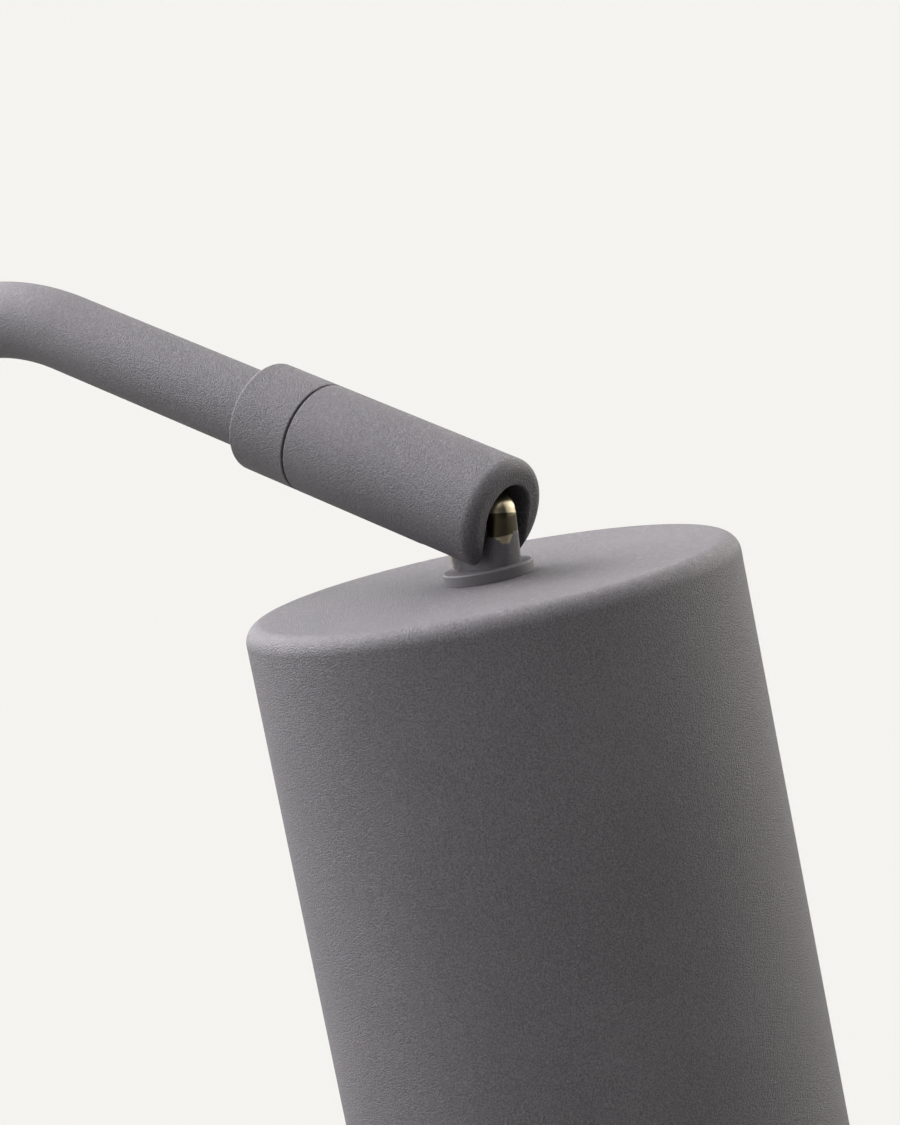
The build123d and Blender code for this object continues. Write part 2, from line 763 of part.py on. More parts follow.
half_chord = (collar_radius**2 - pivot_drop**2) ** 0.5
screw_head_face = half_chord - pivot_head_sink
stop_groove = CenterArc((0, 0), stop_pin_circle, 180 - swivel_range, 2 * swivel_range)
with BuildPart() as knuckle_housing:
    with BuildSketch(nose_plane):
        Circle(collar_radius)
    extrude(amount=-knuckle_length)
    fillet(knuckle_housing.faces().sort_by(along_nose)[-1].edges(), knuckle_nose_radius)
    fillet(knuckle_housing.faces().sort_by(along_nose)[0].edges(), seam_edge)
    with BuildSketch(nose_plane):
        Circle(slot_width / 2)
    extrude(amount=-knuckle_length + knuckle_web, mode=Mode.SUBTRACT)
    with BuildSketch(nose_plane):
        with Locations((collar_radius / 2 + cut_overrun, 0)):
            Rectangle(collar_radius + 2 * cut_overrun, slot_width)
    extrude(amount=-slot_depth, mode=Mode.SUBTRACT)
    with BuildSketch(nose_plane):
        Circle(swivel_stem_radius + running_gap)
    extrude(amount=-knuckle_length, mode=Mode.SUBTRACT)
    with BuildSketch(nose_plane.offset(-knuckle_length)):
        SlotArc(stop_groove, 2 * stop_pin_radius + clear_gap)
    extrude(amount=stop_pin_stand + clear_gap, mode=Mode.SUBTRACT)
    with BuildSketch(hinge_plane(tilt_pivot, screw_head_face - pivot_head_depth, 1)):
        Circle(pivot_head_radius + fixed_gap)
    extrude(amount=collar_radius, mode=Mode.SUBTRACT)
    with BuildSketch(hinge_plane(tilt_pivot, screw_head_face, 1)):
        Circle(pivot_radius + fixed_gap)
    extrude(amount=-screw_head_face - half_chord + pivot_blind, mode=Mode.SUBTRACT)
pieces["knuckle_housing"] = knuckle_housing.part

with BuildPart() as pivot_screw:
    with BuildSketch(hinge_plane(tilt_pivot, screw_head_face, 1)):
        Circle(pivot_head_radius)
    extrude(amount=-pivot_head_depth + fixed_gap)
    with BuildSketch(hinge_plane(tilt_pivot, screw_head_face, 1)):
        Circle(pivot_radius)
    extrude(amount=-screw_head_face - half_chord + pivot_blind + clear_gap)
    with BuildSketch(hinge_plane(tilt_pivot, screw_head_face, 1)):
        RegularPolygon(pivot_socket_flats / 2, 6, major_radius=False)
    extrude(amount=-pivot_socket_depth, mode=Mode.SUBTRACT)
pieces["pivot_screw"] = pivot_screw.part

pivot_washer = (slot_width - tongue_thickness) / 2 - 2 * face_gap
with BuildPart() as pivot_washers:
    for outward in (-1, 1):
        with BuildSketch(hinge_plane(tilt_pivot, tongue_thickness / 2 + face_gap, outward)):
            Circle(pivot_washer_radius)
            Circle(pivot_radius + fixed_gap, mode=Mode.SUBTRACT)
        extrude(amount=pivot_washer)
pieces["pivot_washers"] = pivot_washers.part

# ---------------------------------------------------------------- head

head_section = Plane(origin=shade_top, x_dir=head_front, z_dir=(0, -1, 0))
head_axis = Axis(shade_top, shade_down)
tongue_end = pivot_to_shade + tongue_top
with BuildPart() as tilt_tongue:
    with BuildSketch(head_section) as tongue_outline:
        with BuildLine():
            Polyline(
                (0, flange_thickness),
                (neck_depth / 2, flange_thickness),
                (tongue_depth / 2, neck_top),
                (tongue_depth / 2, tongue_end - tongue_crown),
                (tongue_crown_flat, tongue_end),
                (0, tongue_end),
                close=True,
            )
        make_face()
        widest = tongue_outline.vertices().sort_by(Axis.X)[-2:]
        fillet(widest.sort_by(Axis.Y)[-1], tongue_corner_radius)
    revolve(axis=head_axis)
    with BuildSketch(swing_plane):
        Rectangle(2 * tongue_depth, 2 * tongue_end)
    extrude(amount=tongue_thickness / 2, both=True, mode=Mode.INTERSECT)
    with BuildSketch(head_section) as flange_outline:
        with BuildLine():
            Polyline(
                (nipple_bore, -nipple_length),
                (nipple_radius, -nipple_length),
                (nipple_radius, 0),
                (flange_radius, 0),
                (flange_radius, flange_thickness),
                (0, flange_thickness),
                (0, 0),
                (nipple_bore, 0),
                close=True,
            )
        make_face()
        fillet(flange_outline.vertices().sort_by(Axis.X)[-2:], flange_edge_radius)
    revolve(axis=head_axis)
    with BuildSketch(head_plane.offset(-nipple_length)):
        Circle(lead_hole_radius)
    extrude(amount=nipple_length + lead_hole_height, mode=Mode.SUBTRACT)
    rear_plane = Plane(
        origin=head_plane.from_local_coords((0, 0, lead_hole_height)), x_dir=(0, 1, 0), z_dir=head_front * -1
    )
    with BuildSketch(rear_plane):
        Circle(lead_hole_radius)
    extrude(amount=tongue_depth, mode=Mode.SUBTRACT)
    with BuildSketch(swing_plane):
        Circle(pivot_radius + running_gap)
    extrude(amount=tongue_thickness, both=True, mode=Mode.SUBTRACT)
pieces["tilt_tongue"] = tilt_tongue.part

nipple_fit = nipple_radius + fixed_gap
shade_inner_radius = shade_radius - shade_wall
with BuildPart() as shade:
    with BuildSketch(head_section) as shade_outline:
        with BuildLine():
            Polyline(
                (nipple_fit, 0),
                (shade_radius, 0),
                (shade_radius, -shade_length),
                (shade_radius - shade_lip_width, -shade_length),
                (shade_radius - shade_lip_width, -shade_length + shade_lip_height),
                (shade_inner_radius, -shade_length + shade_lip_height),
                (shade_inner_radius, -shade_wall),
                (nipple_fit, -shade_wall),
                close=True,
            )
        make_face()
        corners = shade_outline.vertices().sort_by(Axis.Y)
        fillet(corners[-2:].sort_by(Axis.X)[-1], shade_edge_radius)
        fillet(corners[-4:-2].sort_by(Axis.X)[-1], shade_edge_radius - shade_wall)
        fillet(corners[:2], shade_lip_width / 3)
    revolve(axis=head_axis)
pieces["shade"] = shade.part

pieces["mount_washer"] = disc(
    head_plane.offset(-shade_wall - face_gap), mount_washer_radius, -mount_washer, nipple_fit
)
mount_nut_top = shade_wall + face_gap + mount_washer
mount_nut_plane = head_plane.offset(-mount_nut_top)
pieces["mount_nut"] = hexagon(mount_nut_plane, mount_nut_flats, -mount_nut_height, nipple_fit)

holder_mid = holder_drop + holder_cap_height
holder_end = holder_mid + holder_length
with BuildPart() as holder_cap:
    with BuildSketch(head_section):
        with BuildLine():
            Polyline(
                (nipple_fit, -holder_drop),
                (holder_cap_neck, -holder_drop),
                (holder_radius, -holder_mid + holder_cap_skirt),
                (holder_radius, -holder_mid),
                (holder_radius - holder_wall, -holder_mid),
                (holder_radius - holder_wall, -holder_mid + holder_cap_skirt + clear_gap),
                (holder_cap_neck - holder_wall / 2, -holder_drop - holder_cap_roof),
                (nipple_fit, -holder_drop - holder_cap_roof),
                close=True,
            )
        make_face()
    revolve(axis=head_axis)
pieces["holder_cap"] = holder_cap.part

with BuildPart() as holder_shell:
    with BuildSketch(head_plane.offset(-holder_mid - face_gap)):
        Circle(holder_radius)
        Circle(holder_radius - holder_wall, mode=Mode.SUBTRACT)
    extrude(amount=-holder_length)
    with BuildSketch(head_plane.offset(-holder_end - face_gap)):
        Circle(holder_radius)
        Circle(holder_mouth_radius, mode=Mode.SUBTRACT)
    extrude(amount=holder_wall)
    lower_rim = holder_shell.faces().sort_by(head_axis)[-1].edges().sort_by(SortBy.LENGTH)[-1]
    fillet(lower_rim, holder_edge_radius)
pieces["holder_shell"] = holder_shell.part

insert_top = holder_mid
insert_radius = holder_radius - holder_wall - fixed_gap
with BuildPart() as contact_insert:
    with BuildSketch(head_plane.offset(-insert_top - 2 * face_gap)):
        Circle(insert_radius)
        with Locations((insert_radius / 2, 0), (-insert_radius / 2, 0)):
            Circle(insert_hole_radius, mode=Mode.SUBTRACT)
    extrude(amount=-insert_height)
pieces["contact_insert"] = contact_insert.part

insert_bottom = insert_top + 2 * face_gap + insert_height
pieces["centre_contact"] = disc(head_plane.offset(-insert_bottom), contact_radius, -contact_height)
screw_shell_radius = bulb_cap_radius + fixed_gap + screw_shell_wall
pieces["screw_shell"] = disc(
    head_plane.offset(-insert_bottom),
    screw_shell_radius,
    -(holder_end - insert_bottom),
    bulb_cap_radius + fixed_gap,
)

bulb_top = insert_bottom + contact_height + face_gap
cap_end = bulb_top + bulb_cap_length
with BuildPart() as bulb_cap:
    with BuildSketch(head_section):
        with BuildLine():
            Polyline(
                (0, -bulb_top),
                (contact_radius, -bulb_top),
                (bulb_cap_radius, -bulb_top - bulb_cap_cone),
                (bulb_cap_radius, -cap_end),
                (0, -cap_end),
                close=True,
            )
        make_face()
    revolve(axis=head_axis)
pieces["bulb_cap"] = bulb_cap.part

globe_centre = cap_end + bulb_length - bulb_radius
neck_outside = (bulb_cap_radius + bulb_neck_step, -cap_end - bulb_neck_length)
neck_inside = (bulb_cap_radius + bulb_neck_step - bulb_wall, -cap_end - bulb_neck_length)
with BuildPart() as bulb_glass:
    with BuildSketch(head_section):
        with BuildLine():
            neck = Line((bulb_cap_radius, -cap_end), neck_outside)
            globe = CenterArc((0, -globe_centre), bulb_radius, -90, globe_turn)
            TangentArc(globe @ 1, neck @ 1, tangent=globe % 1)
            inner_globe = CenterArc((0, -globe_centre), bulb_radius - bulb_wall, -90, globe_turn)
            Line(globe @ 0, inner_globe @ 0)
            inner_flare = TangentArc(inner_globe @ 1, neck_inside, tangent=inner_globe % 1)
            inner_neck = Line(inner_flare @ 1, (bulb_cap_radius - bulb_wall, -cap_end))
            Line(inner_neck @ 1, neck @ 0)
        make_face()
    revolve(axis=head_axis)
pieces["bulb_glass"] = bulb_glass.part

# ---------------------------------------------------------------- write one file per piece

os.makedirs("parts", exist_ok=True)
for piece_name, piece in pieces.items():
    piece.label = piece_name
    export_step(piece, f"parts/{piece_name}.step")
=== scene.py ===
"""Architect desk lamp: the surfaces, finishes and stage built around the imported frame.

The lamp stands on the desk with its origin under the base, +X towards the head and +Z up, in metres.
"""

import json
from math import acos, cos, pi, radians, sin, tan

import bmesh
import bpy
import numpy as np
from mathutils import Matrix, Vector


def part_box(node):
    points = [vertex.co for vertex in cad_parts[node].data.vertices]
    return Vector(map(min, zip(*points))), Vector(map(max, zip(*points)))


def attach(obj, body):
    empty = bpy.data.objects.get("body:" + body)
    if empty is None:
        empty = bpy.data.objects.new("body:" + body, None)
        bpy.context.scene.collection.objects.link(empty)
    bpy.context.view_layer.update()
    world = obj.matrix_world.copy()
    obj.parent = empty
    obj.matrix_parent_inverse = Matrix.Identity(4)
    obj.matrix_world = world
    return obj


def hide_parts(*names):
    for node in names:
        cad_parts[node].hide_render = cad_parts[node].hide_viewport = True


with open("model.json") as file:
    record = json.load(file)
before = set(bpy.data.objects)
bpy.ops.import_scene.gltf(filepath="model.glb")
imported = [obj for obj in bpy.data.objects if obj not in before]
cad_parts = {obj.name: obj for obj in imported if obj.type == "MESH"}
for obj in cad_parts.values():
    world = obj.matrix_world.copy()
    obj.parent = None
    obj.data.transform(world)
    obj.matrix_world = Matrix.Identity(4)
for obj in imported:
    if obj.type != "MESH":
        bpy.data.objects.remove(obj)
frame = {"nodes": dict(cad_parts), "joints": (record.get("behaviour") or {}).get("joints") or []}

bl_info = {
    "name": "Architect desk lamp",
    "version": (1, 0, 0),
    "blender": (4, 5, 0),
    "location": "View3D > Sidebar > Desk lamp",
    "description": "Builds the visible surfaces, finishes and stage of an architect desk lamp",
    "category": "Add Mesh",
}

# ---------------------------------------------------------------- the frame's own places and directions

MM = 0.001
UP = np.array((0.0, 0.0, 1.0))
SWING_AXIS = np.array((0.0, 1.0, 0.0))
JOINTS = {joint["name"]: joint for joint in frame["joints"]}
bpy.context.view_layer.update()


def unit(vector):
    """The vector at length one."""
    return vector / np.linalg.norm(vector)


def pivot(joint_name):
    """Where a joint turns, at rest."""
    return np.array(JOINTS[joint_name]["pos_m"], float)


class Line:
    """A piece's own axis: a place on it, its direction, and two directions square to it."""

    def __init__(self, place, along, across=SWING_AXIS):
        self.place = np.array(place, float)
        self.along = unit(np.array(along, float))
        self.across = np.array(across, float)
        self.front = np.cross(self.across, self.along)

    def at(self, distance):
        """The same line, with its place moved along it."""
        return Line(self.place + self.along * distance, self.along, self.across)

    def points(self, forward, sideways, distance):
        """Frame points for local values along front, across and along."""
        forward, sideways, distance = np.broadcast_arrays(forward, sideways, distance)
        return (
            self.place
            + forward[..., None] * self.front
            + sideways[..., None] * self.across
            + distance[..., None] * self.along
        )


def node_points(node):
    """Every vertex of a CAD node, as an array."""
    mesh = frame["nodes"][node].data
    flat = np.empty(len(mesh.vertices) * 3, np.float32)
    mesh.vertices.foreach_get("co", flat)
    return flat.reshape(-1, 3).astype(float)


def extent(node, line):
    """Lowest and highest distance of a CAD node along a line, from the line's place."""
    distance = (node_points(node) - line.place) @ line.along
    return distance.min(), distance.max()


def half_width(node):
    """Half the width across the swing plane of a CAD node that is centred on it."""
    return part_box(node)[1].y


HEAD_LEAN = radians(14.5)
ARM_RISE = radians(30.0)

FOOT = pivot("lower_tilt")
ELBOW = pivot("elbow_tilt")
TILT = pivot("head_tilt")
LOWER_LINE = Line(FOOT, ELBOW - FOOT)
RISE_LINE = Line(ELBOW, (cos(ARM_RISE), 0.0, sin(ARM_RISE)))
NOSE_LINE = Line(pivot("head_swivel"), JOINTS["head_swivel"]["axis"])
HEAD_LINE = Line(TILT, (-sin(HEAD_LEAN), 0.0, cos(HEAD_LEAN)))
TILT_LINE = Line(TILT, SWING_AXIS, across=(0.0, 0.0, 1.0))

SHADE_MOUTH, SHADE_TOP = extent("shade", HEAD_LINE)

# Small fits that the frame's pieces share, and that their boxes don't give.
TUBE_FIT = 0.05 * MM
STEM_HOLE = 4.05 * MM
STEM_FLANGE_DEPTH = 1.5 * MM
STEM_EDGE = 0.1 * MM
BORE_EDGE = 0.2 * MM
NIPPLE_RADIUS = 5.0 * MM
NIPPLE_HOLE = 5.04 * MM
NIPPLE_BORE = 3.0 * MM
PIVOT_HOLE = 2.05 * MM
SCREW_HEAD_HEIGHT = 2.0 * MM
SCREW_RECESS = 3.45 * MM

# ---------------------------------------------------------------- settings a maker would change


def size_setting(label, text, millimetres):
    """A length setting."""
    return bpy.props.FloatProperty(name=label, description=text, default=millimetres * MM, unit="LENGTH")


def colour_setting(label, text, value):
    """A colour setting."""
    return bpy.props.FloatVectorProperty(name=label, description=text, default=value, subtype="COLOR")


class LampSizes(bpy.types.PropertyGroup):
    """Sizes of the visible surfaces that the frame doesn't give by itself."""

    shade_wall: size_setting("Shade wall", "Thickness of the shade's wall", 1.0)
    shade_edge: size_setting("Shade edge", "Radius of the shade's top edge", 3.5)
    shade_lip: size_setting("Shade lip", "Width of the rolled lip at the mouth", 1.5)
    shade_lip_height: size_setting("Lip height", "Height of the rolled lip at the mouth", 2.4)
    tube_wall: size_setting("Tube wall", "Thickness of the arm tube's wall", 1.2)
    bend_radius: size_setting("Bend radius", "Radius of the upper arm's bend", 64.0)
    collar_edge: size_setting("Collar edge", "Radius of the collar's rear edge", 0.8)
    seam_edge: size_setting("Seam edge", "Radius of the two edges at the swivel seam", 0.3)
    nose_edge: size_setting("Nose edge", "Radius of the knuckle's front edge", 2.6)
    slot_width: size_setting("Slot width", "Width of the knuckle's slot and bore", 12.4)
    slot_depth: size_setting("Slot depth", "How far the knuckle's slot runs back", 16.0)
    slot_edge: size_setting("Slot edge", "Radius of the edge round the slot's mouth", 0.5)
    knuckle_web: size_setting("Knuckle web", "Thickness of the knuckle's rear wall", 8.0)
    tongue_thickness: size_setting("Tongue thickness", "Between the tongue's two flats", 6.4)
    tongue_round: size_setting("Tongue round", "Radius of the tongue's top edge", 2.8)
    tongue_crown: size_setting("Tongue crown", "How far the tongue's top falls to its edge", 2.4)
    tongue_edge: size_setting("Tongue edge", "Radius between the tongue's flats and its turned front", 1.9)
    tongue_depth: size_setting("Tongue depth", "Diameter of the bar the tongue is made from", 16.4)
    neck_depth: size_setting("Neck depth", "Diameter of the neck at its foot", 13.6)
    neck_height: size_setting("Neck height", "Height above the shade at which the neck's taper ends", 11.3)
    neck_flare: size_setting("Neck flare", "How much wider each side of the neck is at its foot", 0.8)
    flange_height: size_setting("Flange height", "Thickness of the flange on the shade", 2.3)


class LampColours(bpy.types.PropertyGroup):
    """Colours of the lamp's finishes and of the stage."""

    paint: colour_setting("Powder coat", "Graphite powder coat", (0.105, 0.100, 0.104))
    inside: colour_setting("Shade inside", "Matte paint inside the shade", (0.80, 0.79, 0.76))
    nickel: colour_setting("Nickel", "Warm bright plating", (0.50, 0.43, 0.30))
    backdrop: colour_setting("Backdrop", "Pale backdrop behind the lamp", (0.8714, 0.8632, 0.8308))
    floor: colour_setting("Floor", "Pale floor, set to meet the backdrop", (0.438, 0.443, 0.412))


# ---------------------------------------------------------------- surfaces worked out on grids

ARC_STEPS = 10
ROUND_STEPS = 192
MERGE_DISTANCE = 2e-6
SHARP_ANGLE = radians(38.0)


def rounded(corners, closed=True):
    """Outline through (distance from axis, height, corner radius) corners.

    Each corner is replaced by an arc tangent to its two sides: with half the angle between the sides h, the
    arc starts radius / tan(h) from the corner, and its points turn evenly round the arc's centre. The second
    array is the wear of each point: a half sine over each arc that stands proud, and nothing elsewhere.
    """
    spots = np.array([corner[:2] for corner in corners], float)
    pieces, wear = [], []
    for index, (_, _, radius) in enumerate(corners):
        corner = spots[index]
        inner_point = closed or 0 < index < len(corners) - 1
        if radius <= 0.0 or not inner_point:
            pieces.append(corner[None])
            wear.append(np.zeros(1))
            continue
        back = unit(spots[index - 1] - corner)
        ahead = unit(spots[(index + 1) % len(corners)] - corner)
        half = acos(np.clip(back @ ahead, -1.0, 1.0)) / 2
        centre = corner + unit(back + ahead) * radius / sin(half)
        start = corner + back * radius / tan(half) - centre
        end = corner + ahead * radius / tan(half) - centre
        turn = pi - 2 * half
        share = np.linspace(0.0, 1.0, ARC_STEPS + 1)[:, None]
        pieces.append(centre + (np.sin((1 - share) * turn) * start + np.sin(share * turn) * end) / sin(turn))
        proud = -(back[0] * ahead[1] - back[1] * ahead[0]) < 0
        wear.append(np.sin(pi * share[:, 0]) * proud)
    outline, worn = np.concatenate(pieces), np.concatenate(wear)
    if closed:
        outline, worn = np.vstack([outline, outline[:1]]), np.append(worn, worn[0])
    return outline, worn


def lathe(outline, line, steps=ROUND_STEPS):
    """Surface of revolution: the point at distance r and height h runs round the line, so that it is
    place + h * along + r * cos(angle) * front + r * sin(angle) * across."""
    points, worn = outline
    angle = np.linspace(0.0, 2 * pi, steps + 1)[None, :]
    radius, height = points[:, :1], points[:, 1:]
    grid = line.points(radius * np.cos(angle), radius * np.sin(angle), height + 0 * angle)
    return grid, np.repeat(worn[:, None], steps + 1, 1)


def tube(centres, headings, outer, inner, steps=96):
    """Hollow round tube: a circle of the outer radius is carried along the path to its end, and one of the
    inner radius is carried back, each square to the heading at its place."""
    angle = np.linspace(0.0, 2 * pi, steps + 1)[None, :, None]
    lift = np.cross(SWING_AXIS, headings)[:, None, :]
    middle = centres[:, None, :]
    circle = lift * np.cos(angle) + SWING_AXIS * np.sin(angle)
    skin, bore = middle + circle * outer, middle + circle * inner
    grid = np.concatenate([skin, bore[::-1], skin[:1]])
    return grid, np.zeros(grid.shape[:2])


def quads(rows, columns, first):
    """Corner numbers of the faces of a grid whose first vertex has a given number."""
    index = first + np.arange(rows * columns).reshape(rows, columns)
    return np.stack([index[:-1, :-1], index[1:, :-1], index[1:, 1:], index[:-1, 1:]], -1).reshape(-1, 4)


def build_piece(name, patches, finishes, body, nodes):
    """One object from grids that meet edge to edge, welded, with its faces pointing outwards.

    A patch is (grid, wear) or (grid, wear, number of its finish).
    """
    points, faces, wear, finish_index = [], [], [], []
    first = 0
    for patch in patches:
        grid, worn = patch[:2]
        rows, columns = grid.shape[:2]
        points.append(grid.reshape(-1, 3))
        wear.append(worn.ravel())
        faces.append(quads(rows, columns, first))
        finish_index.append(np.full(len(faces[-1]), patch[2] if len(patch) > 2 else 0))
        first += rows * columns
    mesh = bpy.data.meshes.new(name)
    mesh.from_pydata(np.concatenate(points).tolist(), [], np.concatenate(faces).tolist())
    mesh.attributes.new("wear", "FLOAT", "POINT").data.foreach_set("value", np.concatenate(wear))
    mesh.polygons.foreach_set("material_index", np.concatenate(finish_index))
    weld(mesh)
    for finish in finishes:
        mesh.materials.append(finish)
    piece = bpy.data.objects.new(name, mesh)
    bpy.context.scene.collection.objects.link(piece)
    even = piece.modifiers.new("even_normals", "WEIGHTED_NORMAL")
    even.keep_sharp = True
    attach(piece, body)
    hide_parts(*nodes)
    return piece


def weld(mesh):
    """Merges the vertices that meet, drops faces that shrank to nothing and turns every face outwards."""
    work = bmesh.new()
    work.from_mesh(mesh)
    bmesh.ops.remove_doubles(work, verts=work.verts, dist=MERGE_DISTANCE)
    bmesh.ops.dissolve_degenerate(work, edges=work.edges, dist=MERGE_DISTANCE / 4)
    bmesh.ops.recalc_face_normals(work, faces=work.faces)
    work.to_mesh(mesh)
    work.free()
    mesh.shade_smooth()
    mesh.set_sharp_from_angle(angle=SHARP_ANGLE)


# ---------------------------------------------------------------- shader nodes


class Tree:
    """Adds nodes to a node tree and links them."""

    def __init__(self, tree):
        self.tree = tree

    def add(self, kind, inputs=None, **settings):
        """A node with its settings, and its inputs set or linked by name or number."""
        node = self.tree.nodes.new(kind)
        for key, value in settings.items():
            setattr(node, key, value)
        for socket, value in (inputs or {}).items():
            if isinstance(value, bpy.types.NodeSocket):
                self.tree.links.new(value, node.inputs[socket])
            else:
                node.inputs[socket].default_value = value
        return node

    def math(self, operation, first, second=0.0):
        """A sum or other operation on two values."""
        return self.add("ShaderNodeMath", {0: first, 1: second}, operation=operation).outputs[0]

    def mix(self, share, first, second):
        """Goes from one colour to another."""
        return self.add("ShaderNodeMix", {0: share, 6: first, 7: second}, data_type="RGBA").outputs[2]

    def blend(self, share, first, second):
        """Goes from one value to another."""
        return self.add("ShaderNodeMix", {0: share, 2: first, 3: second}).outputs[0]

    def ramp(self, value, low, high, out_low=0.0, out_high=1.0):
        """Stretches a value's range to another range and holds it there."""
        inputs = {0: value, 1: low, 2: high, 3: out_low, 4: out_high}
        return self.add("ShaderNodeMapRange", inputs, clamp=True).outputs[0]

    def noise(self, where, scale, detail=2.0, roughness=0.5):
        """Fractal noise from 0 to 1."""
        inputs = {"Vector": where, "Scale": scale, "Detail": detail, "Roughness": roughness}
        return self.add("ShaderNodeTexNoise", inputs).outputs[0]


def node_group(name, inputs, outputs):
    """An empty shader node group with named inputs and outputs: (its tree, its inputs, its output node)."""
    group = bpy.data.node_groups.new(name, "ShaderNodeTree")
    for label, default in inputs.items():
        socket = group.interface.new_socket(name=label, in_out="INPUT", socket_type="NodeSocketFloat")
        socket.default_value = default
    for label in outputs:
        group.interface.new_socket(name=label, in_out="OUTPUT", socket_type="NodeSocketFloat")
    tree = Tree(group)
    return tree, tree.add("NodeGroupInput").outputs, tree.add("NodeGroupOutput")


def sand_texture_group():
    """Fine sand texture of a powder coat: its height, its tone and its light specks."""
    tree, given, out = node_group(
        "sand_texture", {"Grains per metre": 3000.0, "Speck share": 0.35}, ("Height", "Tone", "Specks")
    )
    where = tree.add("ShaderNodeTexCoord").outputs["Object"]
    grain = tree.noise(where, given["Grains per metre"], 1.0, 0.6)
    fine = tree.noise(where, tree.math("MULTIPLY", given["Grains per metre"], 1.9), 1.0, 0.6)
    height = tree.blend(0.45, grain, fine)
    cloud = tree.noise(where, 26.0, 3.0, 0.55)
    tone = tree.blend(0.15, height, cloud)
    spots = tree.noise(where, tree.math("MULTIPLY", given["Grains per metre"], 0.9), 1.0, 0.5)
    specks = tree.ramp(spots, 0.70, 0.78, 0.0, given["Speck share"])
    for label, value in (("Height", height), ("Tone", tone), ("Specks", specks)):
        tree.tree.links.new(value, out.inputs[label])
    return tree.tree


def edge_wear_group():
    """Edges rubbed by handling: follows the piece's own wear values, broken up by noise."""
    tree, given, out = node_group("edge_wear", {"Amount": 0.5, "Patches per metre": 420.0}, ("Mask",))
    where = tree.add("ShaderNodeTexCoord").outputs["Object"]
    wear = tree.add("ShaderNodeAttribute", attribute_name="wear").outputs["Fac"]
    patches = tree.noise(where, given["Patches per metre"], 3.0, 0.6)
    broken = tree.math("MULTIPLY", wear, tree.ramp(patches, 0.35, 0.7))
    tree.tree.links.new(tree.math("MULTIPLY", broken, given["Amount"]), out.inputs["Mask"])
    return tree.tree


def dust_group():
    """Thin dust on faces that look up, thicker in some patches."""
    tree, given, out = node_group("settled_dust", {"Amount": 0.3}, ("Mask",))
    where = tree.add("ShaderNodeTexCoord").outputs["Object"]
    normal = tree.add("ShaderNodeNewGeometry").outputs["Normal"]
    upward = tree.add("ShaderNodeSeparateXYZ", {0: normal}).outputs["Z"]
    film = tree.ramp(tree.noise(where, 60.0, 4.0, 0.6), 0.3, 0.75, 0.0, 0.3)
    motes = tree.ramp(tree.noise(where, 900.0, 2.0, 0.6), 0.52, 0.68)
    lying = tree.math("MULTIPLY", tree.ramp(upward, 0.3, 0.95), tree.math("MAXIMUM", film, motes))
    tree.tree.links.new(tree.math("MULTIPLY", lying, given["Amount"]), out.inputs["Mask"])
    return tree.tree


def moulded_skin_group():
    """Fine spark-eroded skin of a moulded part: its height and its tone."""
    tree, given, out = node_group("moulded_skin", {"Grains per metre": 2200.0}, ("Height", "Tone"))
    where = tree.add("ShaderNodeTexCoord").outputs["Object"]
    grain = tree.noise(where, given["Grains per metre"], 3.0, 0.6)
    cloud = tree.noise(where, 80.0, 3.0, 0.5)
    tree.tree.links.new(grain, out.inputs["Height"])
    tree.tree.links.new(tree.blend(0.5, grain, cloud), out.inputs["Tone"])
    return tree.tree


def handled_metal_group():
    """Faint rubbing marks and cloudiness of a plated or turned metal: its height and its cloudiness."""
    tree, given, out = node_group("handled_metal", {"Marks per metre": 900.0}, ("Height", "Cloud"))
    where = tree.add("ShaderNodeTexCoord").outputs["Object"]
    stretched = tree.add("ShaderNodeMapping", {"Vector": where, "Scale": (1.0, 8.0, 1.0)}).outputs[0]
    marks = tree.noise(stretched, given["Marks per metre"], 3.0, 0.6)
    cloud = tree.noise(where, 220.0, 4.0, 0.6)
    tree.tree.links.new(marks, out.inputs["Height"])
    tree.tree.links.new(cloud, out.inputs["Cloud"])
    return tree.tree


GROUP_MAKERS = {
    "sand_texture": sand_texture_group,
    "edge_wear": edge_wear_group,
    "settled_dust": dust_group,
    "moulded_skin": moulded_skin_group,
    "handled_metal": handled_metal_group,
}


def group_node(tree, name, **values):
    """Places one of the shared groups in a material, with its own values."""
    group = bpy.data.node_groups.get(name) or GROUP_MAKERS[name]()
    inputs = {label.replace("_", " "): value for label, value in values.items()}
    return tree.add("ShaderNodeGroup", inputs, node_tree=group).outputs


def new_material(name):
    """A material with a Principled BSDF: (the material, its tree, the shader)."""
    material = bpy.data.materials.new(name)
    material.use_nodes = True
    tree = Tree(material.node_tree)
    return material, tree, material.node_tree.nodes["Principled BSDF"]


def bump(tree, height, depth):
    """A normal from a height of 0 to 1 that stands for 0 to a depth in metres."""
    return tree.add("ShaderNodeBump", {"Height": height, "Distance": depth}).outputs[0]


def feed(tree, shader, **inputs):
    """Sets or links the shader's inputs by name."""
    for label, value in inputs.items():
        socket = shader.inputs[label.replace("_", " ")]
        if isinstance(value, bpy.types.NodeSocket):
            tree.tree.links.new(value, socket)
        else:
            socket.default_value = value


def tinted(colour, factor):
    """A colour made lighter or darker, with full opacity."""
    return tuple(min(channel * factor, 1.0) for channel in colour) + (1.0,)


DUST_COLOUR = (0.42, 0.41, 0.40, 1.0)
SAND_DEPTH = 0.50 * MM
METAL_DEPTH = 0.004 * MM


